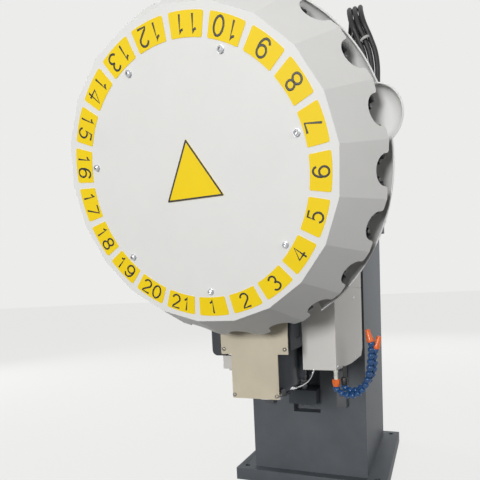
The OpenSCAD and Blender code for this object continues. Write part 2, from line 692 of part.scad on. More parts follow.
module z_motor_bracket() color([0.3, 0.32, 0.35]) disc_frame() difference() {
    union() {
        block(-lift_bracket_half, lift_bracket_half, screw_y - 70, box_y + box_l, column_top,
            column_top + lift_bracket_t);
        for (s = [-1, 1]) translate([s * (lift_bracket_half - lift_cheek_t / 2), 0, 0])
            block(-lift_cheek_t / 2, lift_cheek_t / 2, screw_y - 70, screw_y + 70, column_top, motor_seat_z);
        block(-lift_bracket_half, lift_bracket_half, screw_y - 70, screw_y + 70, motor_seat_z - lift_cheek_t,
            motor_seat_z);
    }
    translate([0, screw_y, column_top - 1]) cylinder(r = coupling_r + 8, h = motor_seat_z, $fn = 64);
}

module z_motor() color([0.12, 0.12, 0.13]) disc_frame() translate([0, screw_y, motor_seat_z]) {
    translate([-lift_motor_w / 2, -lift_motor_w / 2, 0]) cube([lift_motor_w, lift_motor_w, 16]);
    translate([0, 0, 15]) linear_extrude(lift_motor_l - 45)
        round_rect(lift_motor_w - 8, lift_motor_w - 8, 12);
    translate([0, 0, lift_motor_l - 31]) linear_extrude(31)
        round_rect(lift_motor_w - 20, lift_motor_w - 20, 14);
    translate([0, 0, screw_high + 8 - motor_seat_z])
        cylinder(r = motor_shaft_r, h = motor_seat_z - screw_high - 7, $fn = 48);
    translate([lift_motor_w / 2 - 5, -16, lift_motor_l - 66]) cube([26, 32, 30]);
}

module head_casting() color([0.24, 0.26, 0.29]) disc_frame() difference() {
    union() {
        translate([-head_half_w, 0, 0]) rotate([90, 0, 90]) linear_extrude(2 * head_half_w) polygon([
            [head_front, head_low], [head_front + 130, head_low], [head_back - 20, head_low + 70],
            [head_back - 20, head_high - 20], [head_front + 160, head_high], [head_front, head_high]]);
        block(-saddle_half_w, saddle_half_w, head_back - 22, head_back, -322, -38);
        for (s = [-1, 1], z = [-300, -60]) translate([s * (saddle_half_w + head_half_w) / 2, 0, z])
            rotate([90, 0, 90]) translate([0, 0, -(saddle_half_w - head_half_w) / 2])
                linear_extrude(saddle_half_w - head_half_w)
                    polygon([[head_back - 50, 0], [head_back - 20, -8],
                    [head_back - 20, 8]]);
    }
    translate([0, spindle_y, head_low - 1])
        cylinder(r = cartridge_r + pin_fit, h = head_high - head_low + 2, $fn = 96);
    for (s = [-1, 1]) translate([s * head_half_w, (head_front + 20 + side_front) / 2,
        (head_low + head_high) / 2])
        rotate([0, 90, 0]) translate([0, 0, -pocket_t]) linear_extrude(2 * pocket_t)
            round_rect(head_high - head_low - 50, side_front - head_front - 34, 12);
}

module front_plate() color([0.78, 0.74, 0.65]) disc_frame() difference() {
    translate([0, plate_back, 0]) rotate([90, 0, 0]) linear_extrude(plate_t) polygon([
        [-plate_half_w, plate_top_z], [plate_half_w, plate_top_z], [plate_half_w, plate_step_z],
        [plate_low_half_w, plate_step_z], [plate_low_half_w, plate_low_z], [-plate_low_half_w, plate_low_z],
        [-plate_low_half_w, plate_step_z], [-plate_half_w, plate_step_z]]);
    plate_screw_places() translate([0, 0, -20]) cylinder(r = screw_shank_r + 0.2, h = 40, $fn = 32);
}

module plate_screw_places() {
    for (s = [-1, 1], z = [plate_step_z + 12, plate_top_z - 14])
        translate([s * (plate_half_w - 7.5), plate_front, z])
        rotate([90, 0, 0]) children();
    for (s = [-1, 1]) translate([s * (plate_low_half_w - 5), plate_front, plate_low_z + 8])
        rotate([90, 0, 0]) children();
}

module head_screws() color([0.62, 0.62, 0.64]) disc_frame() {
    plate_screw_places() {
        button_screw(head_r - 0.7);
        translate([0, 0, -plate_t - 4]) cylinder(r = screw_shank_r, h = plate_t + 4.5, $fn = 32);
    }
    for (s = [-1, 1], z = [plate_step_z + 12, plate_top_z - 14])
        translate([s * (plate_half_w - 7.5), plate_back, z])
        rotate([-90, 0, 0]) cylinder(r = head_r, h = head_front - plate_back, $fn = 48);
    for (s = [-1, 1]) translate([s * (plate_low_half_w - 5), plate_back, plate_low_z + 8])
        rotate([-90, 0, 0]) cylinder(r = head_r, h = lug_front - plate_back, $fn = 48);
}

module side_cover() color([0.9, 0.89, 0.87]) disc_frame() difference() {
    translate([0, 0, side_low]) linear_extrude(side_high - side_low) polygon([[head_half_w, side_front],
        [side_x, side_front], [side_flare_x, side_back], [head_half_w, side_back]]);
    translate([head_half_w - 1, 0, 0]) rotate([90, 0, 90]) linear_extrude(side_flare_x) polygon([
        [side_front + 115, side_low - 1], [side_front + 115, side_low], [side_back - 12, side_low + 8],
        [side_back + 1, side_low + 30], [side_back + 1, side_low - 1]]);
    translate([0, 0, side_seam_z]) difference() {
        linear_extrude(side_seam) polygon([[head_half_w - 1, side_front - 1], [side_x + 2, side_front - 1],
            [side_flare_x + 2, side_back + 1], [head_half_w - 1, side_back + 1]]);
        translate([0, 0, -1]) linear_extrude(side_seam + 2) polygon([[head_half_w - 2, side_front + 1],
            [side_x - 1, side_front + 1], [side_flare_x - 1, side_back + 2],
            [head_half_w - 2, side_back + 2]]);
    }
}

module spindle_housing() color([0.17, 0.18, 0.2]) disc_frame() translate([0, spindle_y, 0]) difference() {
    union() {
        rotate_extrude($fn = 120)
            polygon([[0, nose_low_z], [nose_r + 22, nose_low_z], [nose_r + 26, nose_low_z + 4],
            [nose_r + 26, flange_low_z], [nose_flange_r - 2, flange_low_z], [nose_flange_r, flange_low_z + 2],
            [nose_flange_r, flange_top_z - 2], [nose_flange_r - 2, flange_top_z], [spindle_r, flange_top_z],
            [spindle_r, head_low], [cartridge_r, head_low], [cartridge_r, cartridge_top],
            [0, cartridge_top]]);
        for (s = [-1, 1]) translate([s * (plate_low_half_w - 5) - 7, lug_front - spindle_y, flange_low_z])
            cube([14, 24, flange_top_z - flange_low_z]);
    }
    translate([0, 0, flange_low_z])
        cylinder(r = spindle_shaft_r + pin_fit, h = cartridge_top - flange_low_z + 1, $fn = 96);
    translate([0, 0, nose_low_z - 1])
        cylinder(r = nose_r + pin_fit, h = flange_low_z - nose_low_z + 2, $fn = 96);
    for (a = [0 : 45 : 315]) rotate([0, 0, a + 22.5]) translate([nose_r + 38, 0, flange_low_z - 1])
        cylinder(r = 5.5, h = 9, $fn = 32);
}

module spindle_shaft() color([0.66, 0.67, 0.69]) disc_frame() translate([0, spindle_y, 0]) {
    difference() {
        rotate_extrude($fn = 96)
            polygon([[taper_r, nose_z], [nose_r, nose_z], [nose_r, flange_low_z + fit_gap],
            [spindle_shaft_r, flange_low_z + fit_gap], [spindle_shaft_r, spindle_top],
            [drawbar_r, spindle_top],
            [drawbar_r, nose_z + taper_depth + 60], [socket_end_r, nose_z + taper_depth + 60],
            [socket_end_r, nose_z + taper_depth]]);
        for (s = [-1, 1]) translate([s * 24 - 9, -8.2, nose_z - 1]) cube([18, 16.4, 7]);
    }
    for (s = [-1, 1]) translate([s * 24 - 7, -8, nose_z - 5]) cube([14, 16, 12]);
}

module spindle_motor() color([0.12, 0.12, 0.13]) disc_frame() translate([0, spindle_y, head_high]) {
    translate([-spindle_motor_w / 2, -spindle_motor_w / 2, 0]) cube([spindle_motor_w, spindle_motor_w, 18]);
    translate([0, 0, 17]) linear_extrude(spindle_motor_l - 47)
        round_rect(spindle_motor_w - 8, spindle_motor_w - 8, 12);
    translate([0, 0, spindle_motor_l - 31]) linear_extrude(31)
        round_rect(spindle_motor_w - 22, spindle_motor_w - 22, 16);
    translate([-spindle_motor_w / 2 - 18, -18, spindle_motor_l - 78]) cube([24, 36, 32]);
}

module swing_cams() color([0.6, 0.61, 0.63]) disc_frame() for (s = [-1, 1])
    translate([s * roller_x - 6, 0, 0]) rotate([90, 0, 90]) linear_extrude(12) difference() {
        polygon([[head_front, plate_top_z + 4], [head_front - 8, plate_top_z + 10],
            [head_front - 12, head_high + 30],
            [head_front - 9, head_high + 60], [head_front, head_high + 74]]);
        translate([head_front - 4.5, head_high - 12]) circle(2, $fn = 32);
    }

module valve_block() color([0.1, 0.1, 0.11]) disc_frame() translate([0, 330, 0]) rotate([90, 0, 0])
    linear_extrude(68) {
    polygon([[-head_half_w, -180], [-125, -180], [-125, -335], [-111, -349], [-head_half_w, -349]]);
    translate([-111, -335]) circle(14, $fn = 48);
}

module limit_switch() color([0.9, 0.9, 0.88]) disc_frame() {
    block(-96, -62, 262, 276, -381, -349);
    translate([-79, 269, -386]) cylinder(r = 5, h = 5, $fn = 32);
}

module aimed(d) rotate([0, acos(d[2] / norm(d)), atan2(d[1], d[0])]) children();

module ball_hose(route) {
    last = len(route) - 1;
    for (i = [0 : last]) translate(route[i]) aimed(route[min(i + 1, last)] - route[min(i, last - 1)]) {
        sphere(r = ball_r, $fn = 32);
        if (i < last) cylinder(r = neck_r, h = norm(route[i + 1] - route[i]), $fn = 32);
    }
}

module coolant_hoses() color([0.12, 0.3, 0.52]) disc_frame() {
    ball_hose(hose_a);
    ball_hose(hose_b);
}

module hose_nozzles() color([0.94, 0.4, 0.14]) disc_frame() for (k = [0, 1]) {
    route = k == 0 ? hose_a : hose_b;
    start = route[0];
    last = route[len(route) - 1];
    d = nozzle_aims[k];
    translate([start[0], start[1], side_low - 22]) cylinder(r = 4, h = 22, $fn = 32);
    translate([start[0], start[1], start[2] + ball_r - 0.4])
        cylinder(r = 9, h = side_low - 22 - start[2] - ball_r + 0.9, $fn = 6);
    translate(last + d / norm(d) * (ball_r - 0.2)) aimed(d)
        rotate_extrude($fn = 48) polygon([[0, 0], [7, 0], [7, 8], [4.6, 34], [0, 34]]);
}

module ball_nut() color([0.6, 0.61, 0.63]) disc_frame() difference() {
    union() {
        block(-38, 38, head_back, 650, nut_z, nut_z + 60);
        translate([0, screw_y, nut_z - 14]) cylinder(r = 22, h = 90, $fn = 64);
    }
    translate([0, screw_y, nut_z - 15]) cylinder(r = screw_r + pin_fit, h = 92, $fn = 64);
}

column_casting();
z_rails();
z_motor_bracket();
z_motor();
z_bearings();
turret_bracket();
pivot_shaft();
junction_box();
conduit_cables();
z_ballscrew();
z_coupling();
carriage_housing();
turret_motor();
rear_guard();
guard_brackets();
swing_rollers();
front_cover();
station_tags();
cover_screws();
sign_plate();
carrier_disc();
turret_shaft();
gripper_arms();
claw_pins();
claw_springs();
head_casting();
front_plate();
head_screws();
side_cover();
spindle_housing();
swing_cams();
limit_switch();
coolant_hoses();
hose_nozzles();
guide_blocks();
ball_nut();
spindle_motor();
spindle_shaft();
valve_block();
for (i = [1 : stations]) claw(i);
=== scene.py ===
# %% [markdown]
# # A turret tool changer in front of its spindle head
# The object is the part of a machining center that changes and drives its tools. A round turret holds
# twenty-one tools, a head behind it holds the spindle, and a column carries both. The solid model comes
# in as a fixed frame. Here every surface gets its finish, and the small things are added that a solid
# model leaves out: numbers, bolts, cable ties, soft edges on castings and bent sheet.

import json
import math

import bpy
from mathutils import Matrix, Vector

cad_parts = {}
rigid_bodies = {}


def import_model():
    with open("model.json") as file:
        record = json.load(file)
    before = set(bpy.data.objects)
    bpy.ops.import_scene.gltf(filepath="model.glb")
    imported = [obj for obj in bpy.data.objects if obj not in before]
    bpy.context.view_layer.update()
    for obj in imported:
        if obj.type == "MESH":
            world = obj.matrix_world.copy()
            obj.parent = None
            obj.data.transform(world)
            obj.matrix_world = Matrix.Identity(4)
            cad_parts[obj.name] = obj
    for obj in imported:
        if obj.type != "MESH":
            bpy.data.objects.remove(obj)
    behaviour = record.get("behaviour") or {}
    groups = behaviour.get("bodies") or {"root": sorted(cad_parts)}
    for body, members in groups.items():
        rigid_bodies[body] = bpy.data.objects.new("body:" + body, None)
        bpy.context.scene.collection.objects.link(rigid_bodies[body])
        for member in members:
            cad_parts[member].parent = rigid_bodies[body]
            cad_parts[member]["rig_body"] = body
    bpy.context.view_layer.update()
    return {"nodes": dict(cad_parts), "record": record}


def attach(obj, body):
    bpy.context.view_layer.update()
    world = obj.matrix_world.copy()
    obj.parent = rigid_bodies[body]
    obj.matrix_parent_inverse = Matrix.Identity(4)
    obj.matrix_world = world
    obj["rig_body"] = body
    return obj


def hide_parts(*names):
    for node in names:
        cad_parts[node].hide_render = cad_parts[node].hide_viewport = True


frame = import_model()
nodes = frame["nodes"]
bpy.ops.object.select_all(action="DESELECT")

# %% [markdown]
# ## Where things are
# The turret's axis leans, so that the lowest tool hangs upright. One matrix takes a flat drawing on the
# turret's face to its place in the room, and one more turn takes it to a station. All the numbers,
# screws and tags use these two, so nothing is placed by eye.

# %% The turret's own frame
MM = 0.001
STATIONS = 21
TILT = math.radians(13.2)
DISC = Vector((0, -860, 830)) * MM
FACE_CORNER_R, RIM_CORNER_R, COVER_DEPTH = 260 * MM, 324 * MM, 104 * MM
GUARD_R, GUARD_DEPTH, GUARD_T = 328 * MM, 130 * MM, 2 * MM
TURRET = Matrix.Translation(DISC) @ Matrix.Rotation(math.radians(90) + TILT, 4, "X")


def station(number):
    """The place of a station: X runs outward on the face and Z out of it."""
    turn = (number - 1) * math.tau / STATIONS - math.pi / 2
    return TURRET @ Matrix.Rotation(turn, 4, "Z")


def on_disc(x, y, z):
    """A point given in millimetres from the middle of the turret's face, along the room's axes."""
    return DISC + Vector((x, y, z)) * MM


print("lowest point of the face:", station(1) @ Vector((FACE_CORNER_R, 0, 0)))

# %% [markdown]
# ## Camera
# The photograph was taken close up from the right, a little below the turret's middle. A wide lens so
# near gives the strong taper from the near rim to the far one. The lens, the place and the aim come from
# matching the tags, the rim's corners and the plate's edges. The frame was cut from a larger picture,
# so its middle isn't where the lens pointed, and the camera's shift says how far.

# %% The camera
FRAME_SIZE = 480
FOCAL_PIXELS = 422.3
LENS_AXIS = (277.9, 324.9)
SENSOR = 36
LOOK = Vector((-0.34653, 0.93515, -0.07351))
UP = Vector((0.01152, 0.08260, 0.99652))
CAMERA_AT = (389.7, -653.7, -203.1)

camera_data = bpy.data.cameras.new("camera")
camera_data.sensor_width = SENSOR
camera_data.lens = SENSOR * FOCAL_PIXELS / FRAME_SIZE
camera_data.shift_x = (FRAME_SIZE / 2 - LENS_AXIS[0]) / FRAME_SIZE
camera_data.shift_y = (LENS_AXIS[1] - FRAME_SIZE / 2) / FRAME_SIZE
camera_data.clip_start = 0.02
camera = bpy.data.objects.new("camera", camera_data)
bpy.context.scene.collection.objects.link(camera)
look_matrix = Matrix((LOOK.cross(UP).normalized(), UP, -LOOK)).transposed().to_4x4()
camera.matrix_world = Matrix.Translation(on_disc(*CAMERA_AT)) @ look_matrix
bpy.context.scene.camera = camera
bpy.context.scene.view_settings.view_transform = "Standard"
print("lens:", round(camera_data.lens, 2), "mm")

# %% [markdown]
# ## Light
# The machine's own lamp hangs in front and above, so the face is bright, the sides fall off and the
# underside is darkest. One large soft lamp does that here, and a weaker one opens the shadows on the
# right. Three more stand behind, to the left and beside the column. They add next to nothing to the
# photograph's view, and the dark castings still read from their side. A pale world fills the rest. Only
# what the camera and reflections see of the world is paler, so the background is light while the white
# sheet stays below clipping.

# %% The world and the lamps
WALL_LEVEL = 0.84
WORLD_LEVEL = 0.37

world = bpy.data.worlds.new("room")
bpy.context.scene.world = world
world.use_nodes = True
links, made = world.node_tree.links, world.node_tree.nodes
made.clear()


def seen_by_eye(tree):
    """A socket that is 1 for what the camera, a reflection or a see-through part looks at."""
    path = tree.nodes.new("ShaderNodeLightPath")
    first = tree.nodes.new("ShaderNodeMath")
    first.operation = "MAXIMUM"
    second = tree.nodes.new("ShaderNodeMath")
    second.operation = "MAXIMUM"
    tree.links.new(path.outputs["Is Camera Ray"], first.inputs[0])
    tree.links.new(path.outputs["Is Glossy Ray"], first.inputs[1])
    tree.links.new(first.outputs[0], second.inputs[0])
    tree.links.new(path.outputs["Is Transmission Ray"], second.inputs[1])
    return second.outputs[0]


wall = made.new("ShaderNodeBackground")
wall.inputs["Color"].default_value = (1, 1, 0.99, 1)
wall.inputs["Strength"].default_value = WALL_LEVEL
light = made.new("ShaderNodeBackground")
light.inputs["Color"].default_value = (1.0, 0.985, 0.955, 1)
light.inputs["Strength"].default_value = WORLD_LEVEL
pick = made.new("ShaderNodeMixShader")
world_out = made.new("ShaderNodeOutputWorld")
links.new(seen_by_eye(world.node_tree), pick.inputs["Fac"])
links.new(light.outputs[0], pick.inputs[1])
links.new(wall.outputs[0], pick.inputs[2])
links.new(pick.outputs[0], world_out.inputs["Surface"])


def soft_lamp(name, place, aim, side, watts, spread=180, gloss=True):
    """A square lamp turned towards an aim. Spread is in degrees, and gloss lets reflections show it."""
    lamp_data = bpy.data.lights.new(name, "AREA")
    lamp_data.spread = math.radians(spread)
    lamp_data.size = side
    lamp_data.energy = watts
    lamp = bpy.data.objects.new(name, lamp_data)
    bpy.context.scene.collection.objects.link(lamp)
    turn = (aim - place).to_track_quat("-Z", "Y").to_matrix().to_4x4()
    lamp.matrix_world = Matrix.Translation(place) @ turn
    lamp.visible_glossy = gloss


soft_lamp("key_lamp", on_disc(-250, -3900, 560), DISC, 1.0, 116)
soft_lamp("fill_lamp", on_disc(2400, -700, 400), DISC, 1.4, 9)
column_front, column_side, column_left = (on_disc(*spot) for spot in
                                          ((0, 700, -200), (230, 1060, -200), (0, 600, -200)))
soft_lamp("back_lamp", on_disc(300, 4700, 1800), column_front, 1.6, 120, gloss=False)
soft_lamp("column_lamp", on_disc(3900, 1500, 400), column_side, 0.6, 1.0, spread=20, gloss=False)
soft_lamp("left_lamp", on_disc(-3900, 1500, 900), column_left, 1.6, 90, gloss=False)

# %% [markdown]
# ## Finishes
# Paint on a machine isn't one flat colour. It has a fine orange peel, its gloss changes a little from
# place to place, and it is darker where dust and oil settle. One helper builds that from two noises in
# the piece's own coordinates, and each finish gives it its own numbers. Cast parts get a coarser grain
# under the paint, and bare steel gets fine scratches along one direction.

# %% The helper for finishes


def finish(name, colour, rough, grain=900, bump=0.04, mottle=0.06, metal=0.0, stretch=(1, 1, 1),
           shine=0.5):
    """A painted, cast or bare surface with fine relief and uneven gloss."""
    material = bpy.data.materials.new(name)
    material.use_nodes = True
    tree = material.node_tree
    shader = tree.nodes["Principled BSDF"]
    shader.inputs["Metallic"].default_value = metal
    shader.inputs["Specular IOR Level"].default_value = shine
    place = tree.nodes.new("ShaderNodeTexCoord")
    mapping = tree.nodes.new("ShaderNodeMapping")
    mapping.inputs["Scale"].default_value = stretch
    tree.links.new(place.outputs["Object"], mapping.inputs["Vector"])
    fine = tree.nodes.new("ShaderNodeTexNoise")
    fine.inputs["Scale"].default_value = grain
    fine.inputs["Detail"].default_value = 3
    broad = tree.nodes.new("ShaderNodeTexNoise")
    broad.inputs["Scale"].default_value = 9
    broad.inputs["Detail"].default_value = 5
    broad.inputs["Roughness"].default_value = 0.6
    tree.links.new(mapping.outputs["Vector"], fine.inputs["Vector"])
    tree.links.new(place.outputs["Object"], broad.inputs["Vector"])
    tint = tree.nodes.new("ShaderNodeValToRGB")
    dark = tuple(c * (1 - mottle) for c in colour)
    light_tint = tuple(min(1, c * (1 + mottle * 0.5)) for c in colour)
    tint.color_ramp.elements[0].position = 0.3
    tint.color_ramp.elements[0].color = (*dark, 1)
    tint.color_ramp.elements[1].position = 0.7
    tint.color_ramp.elements[1].color = (*light_tint, 1)
    tree.links.new(broad.outputs["Fac"], tint.inputs["Fac"])
    tree.links.new(tint.outputs["Color"], shader.inputs["Base Color"])
    gloss = tree.nodes.new("ShaderNodeMapRange")
    gloss.inputs["To Min"].default_value = max(0.05, rough - 0.07)
    gloss.inputs["To Max"].default_value = min(1.0, rough + 0.09)
    tree.links.new(broad.outputs["Fac"], gloss.inputs["Value"])
    tree.links.new(gloss.outputs["Result"], shader.inputs["Roughness"])
    relief = tree.nodes.new("ShaderNodeBump")
    relief.inputs["Strength"].default_value = bump
    relief.inputs["Distance"].default_value = 0.4 * MM
    tree.links.new(fine.outputs["Fac"], relief.inputs["Height"])
    tree.links.new(relief.outputs["Normal"], shader.inputs["Normal"])
    return material


# %% [markdown]
# ## The finishes of this machine
# The cover and the guard are white powder coat. The front plate is cream, the castings are slate grey
# with the grain of sand casting under the paint, and the motors and jaws are black. The column is a
# lighter slate, and the plate's screws are a darker steel, which is painted shade for the shadow under
# their heads. The rails, the ball screw and the far hose's socket are darker too, painted shade for the
# shadow they sit in. The other colours are written as the surface's own, as it looks in plain light.

# %% Make the finishes
FINISHES = {
    "cover_white": finish("cover_white", (0.79, 0.79, 0.775), 0.5, bump=0.05, mottle=0.025, shine=0.3),
    "tag_yellow": finish("tag_yellow", (0.93, 0.67, 0.010), 0.5, grain=1500, bump=0.02, mottle=0.03,
                         shine=0.2),
    "plate_cream": finish("plate_cream", (0.56, 0.50, 0.38), 0.42, grain=260, bump=0.05, mottle=0.10,
                          stretch=(1, 1, 9)),
    "casting_grey": finish("casting_grey", (0.048, 0.055, 0.064), 0.5, grain=320, bump=0.30, mottle=0.16,
                           shine=0.22),
    "gearbox_grey": finish("gearbox_grey", (0.20, 0.215, 0.235), 0.45, grain=320, bump=0.25, mottle=0.14),
    "spindle_dark": finish("spindle_dark", (0.040, 0.046, 0.055), 0.36, grain=500, bump=0.12, mottle=0.2,
                           shine=0.3),
    "motor_black": finish("motor_black", (0.018, 0.018, 0.020), 0.42, grain=600, bump=0.14, mottle=0.2),
    "box_dark": finish("box_dark", (0.035, 0.038, 0.045), 0.5, grain=500, bump=0.12, mottle=0.2),
    "gripper_dark": finish("gripper_dark", (0.022, 0.024, 0.028), 0.40, grain=700, bump=0.10, mottle=0.25),
    "side_white": finish("side_white", (0.60, 0.585, 0.555), 0.38, grain=800, bump=0.06, mottle=0.05),
    # The rails' steel is set far darker than bare steel: painted shade for the shadow on the column's
    # front.
    "rail_steel": finish("rail_steel", (0.085, 0.087, 0.091), 0.36, grain=140, bump=0.05, mottle=0.2,
                         metal=1, stretch=(6, 6, 0.4)),
    "spindle_steel": finish("spindle_steel", (0.66, 0.66, 0.68), 0.2, grain=300, bump=0.04, mottle=0.08,
                            metal=1, stretch=(1, 1, 8)),
    "screw_steel": finish("screw_steel", (0.56, 0.57, 0.59), 0.28, grain=900, bump=0.05, mottle=0.12,
                          metal=1),
    "coupling_alloy": finish("coupling_alloy", (0.72, 0.72, 0.74), 0.3, grain=500, bump=0.05, metal=1),
    "cable_black": finish("cable_black", (0.012, 0.012, 0.013), 0.5, grain=1200, bump=0.1, mottle=0.2),
    "hose_blue": finish("hose_blue", (0.012, 0.068, 0.20), 0.28, grain=900, bump=0.05, mottle=0.12),
    "nozzle_orange": finish("nozzle_orange", (0.82, 0.15, 0.02), 0.32, grain=900, bump=0.05, mottle=0.1),
}
# Black for the printed numbers, the sign's rim and a tie, and painted shade on the far hose's socket.
black_ink_and_shade = finish("black_ink_and_shade", (0.012, 0.012, 0.012), 0.45, grain=1500, bump=0.02, mottle=0.1)
SLOT_OF = {row["node"]: row["material_slot"] for row in frame["record"]["subparts"]}
for name, node in nodes.items():
    node.data.materials.clear()
    node.data.materials.append(FINISHES[SLOT_OF[name]])
column_slate = finish("column_slate", (0.090, 0.100, 0.112), 0.5, grain=320, bump=0.30, mottle=0.16,
                      shine=0.25)
# The plate's screws are a darker steel than the rest: painted shade for the shadow under their heads.
screw_shade_dark = finish("screw_shade_dark", (0.24, 0.225, 0.20), 0.38, grain=900, bump=0.05, mottle=0.3, metal=1)
nodes["column_casting"].data.materials[0] = column_slate
nodes["head_screws"].data.materials[0] = screw_shade_dark
print("finishes:", len(FINISHES))

# %% [markdown]
# ## Softening the edges
# A sheet that was bent, or a casting that was cleaned up, has no razor edge, and the thin line of light
# along its edges is what makes it read as real. The solid's mesh is fixed, so a copy takes its place:
# its loose triangles are merged, the flat ones are joined, and a bevel rounds each sharp edge.

# %% The helper for soft edges


def only(piece):
    """Selects one piece and makes it active."""
    bpy.ops.object.select_all(action="DESELECT")
    piece.select_set(True)
    bpy.context.view_layer.objects.active = piece


def shape_with(kind, piece, **settings):
    """Adds a modifier of a kind to a piece, sets it and applies it."""
    only(piece)
    bpy.ops.object.modifier_add(type=kind)
    modifier = piece.modifiers[-1]
    for setting, value in settings.items():
        setattr(modifier, setting, value)
    bpy.ops.object.modifier_apply(modifier=modifier.name)


def soften(node_name, width, sharp=28, smooth=24):
    """Puts a copy of a solid with rounded edges in the solid's place."""
    node = nodes[node_name]
    piece = bpy.data.objects.new(node_name + "_soft", node.data.copy())
    bpy.context.scene.collection.objects.link(piece)
    only(piece)
    bpy.ops.object.mode_set(mode="EDIT")
    bpy.ops.mesh.select_all(action="SELECT")
    bpy.ops.mesh.remove_doubles(threshold=0.002 * MM)
    bpy.ops.mesh.dissolve_limited(angle_limit=math.radians(0.5))
    bpy.ops.object.mode_set(mode="OBJECT")
    shape_with("BEVEL", piece, width=width, segments=2, limit_method="ANGLE",
               angle_limit=math.radians(sharp))
    bpy.ops.object.shade_smooth_by_angle(angle=math.radians(smooth))
    bpy.ops.object.select_all(action="DESELECT")
    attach(piece, node["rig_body"])
    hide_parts(node_name)


SOFT_EDGES = {"front_plate": 0.5, "side_cover": 2.0, "head_casting": 2.5, "turret_bracket": 2.0,
              "z_motor_bracket": 1.2, "turret_motor": 1.2, "z_motor": 1.5, "spindle_motor": 1.5,
              "valve_block": 1.5, "junction_box": 1.5, "column_casting": 5.0, "guide_blocks": 0.8}
for name, width in SOFT_EDGES.items():
    soften(name, width * MM)
soften("front_cover", 1.1 * MM, sharp=11, smooth=9)
print("softened:", len(SOFT_EDGES) + 1)

# %% [markdown]
# ## Turned shapes
# Nozzles, hose links, pipe ends and the guard's dish are all round about one axis. Each is drawn as half
# an outline, radius against height, and the Screw modifier turns it full circle. An outline that starts
# and ends on the axis closes by itself, and an open one gets its sheet thickness afterwards.

# %% The helper for turned shapes


def turned(name, outline, steps=40, smooth=35):
    """A shape turned round Z from an outline of radius and height."""
    mesh = bpy.data.meshes.new(name)
    mesh.from_pydata([(r, 0, z) for r, z in outline], [(i, i + 1) for i in range(len(outline) - 1)], [])
    piece = bpy.data.objects.new(name, mesh)
    bpy.context.scene.collection.objects.link(piece)
    shape_with("SCREW", piece, steps=steps, render_steps=steps, use_merge_vertices=True,
               merge_threshold=0.01 * MM)
    bpy.ops.object.mode_set(mode="EDIT")
    bpy.ops.mesh.select_all(action="SELECT")
    bpy.ops.mesh.remove_doubles(threshold=0.01 * MM)
    bpy.ops.mesh.normals_make_consistent(inside=False)
    bpy.ops.object.mode_set(mode="OBJECT")
    bpy.ops.object.shade_smooth_by_angle(angle=math.radians(smooth))
    return piece


def in_mm(*outline):
    """An outline written in millimetres."""
    return [(r * MM, z * MM) for r, z in outline]


def join(name, pieces):
    """Joins pieces into one with a name."""
    bpy.ops.object.select_all(action="DESELECT")
    for piece in pieces:
        piece.select_set(True)
    bpy.context.view_layer.objects.active = pieces[0]
    bpy.ops.object.join()
    joined = bpy.context.object
    joined.name = name
    return joined


def coat(piece, material):
    """Gives a piece its one finish."""
    piece.data.materials.clear()
    piece.data.materials.append(material)


def dress(piece, body, slot_name, material=None):
    """Gives a piece its one finish, the given one or else its slot's, and the body that it rides on."""
    coat(piece, material or FINISHES[slot_name])
    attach(piece, body)


print("helpers: turned, in_mm, join, coat, dress")

# %% [markdown]
# ## Numbers on the tags
# Each yellow tag carries a plain number in thin black film, with its feet towards the rim, so that the
# lowest one reads upright. The numbers are thin, round and open, and no typeface that comes with Blender
# looks like that. So each digit is drawn as strokes, from arcs and straight runs in a box one unit high.
# A curve with a round bevel follows each stroke, and pressing it flat makes the film.

# %% Draw the digits
TAG_MIDDLE_R = 228.5 * MM
TAG_TOP = 0.6 * MM
FILM = 0.12 * MM
NUMBER_HEIGHT = 29.5 * MM
STROKE = 0.118
DIGIT_W, DIGIT_H, DIGIT_STEP = 0.53, 1 - STROKE, 0.78


def arc(x, y, rx, ry, first, last):
    """Points along an ellipse, turning from first to last, in degrees."""
    steps = max(4, int(abs(last - first) / 12))
    turns = [math.radians(first + (last - first) * k / steps) for k in range(steps + 1)]
    return [(x + rx * math.cos(t), y + ry * math.sin(t)) for t in turns]


six = [arc(0.52, 0.31, 0.48, 0.31, 0, 360), arc(0.57, 0.5, 0.55, 0.5, 38, 196)]
DIGITS = {
    "0": [arc(0.5, 0.5, 0.5, 0.5, 0, 360)],
    "1": [[(0.12, 0.78), (0.30, 0.81), (0.42, 0.88), (0.49, 1), (0.49, 0)]],
    "2": [arc(0.5, 0.71, 0.47, 0.29, 172, -38) + [(0.12, 0.12), (0.02, 0), (1, 0)]],
    "3": [arc(0.46, 0.755, 0.42, 0.245, 158, -82), arc(0.48, 0.26, 0.5, 0.26, 88, -158)],
    "4": [[(0.76, 0), (0.76, 1), (0.0, 0.27), (1.06, 0.27)]],
    "5": [[(0.92, 1), (0.24, 1), (0.12, 0.5)] + arc(0.47, 0.32, 0.5, 0.32, 128, -156)],
    "6": six,
    "7": [[(0, 1), (0.98, 1), (0.42, 0)]],
    "8": [arc(0.5, 0.755, 0.42, 0.245, 0, 360), arc(0.5, 0.255, 0.5, 0.255, 0, 360)],
    "9": [[(1 - x, 1 - y) for x, y in stroke] for stroke in six],
}


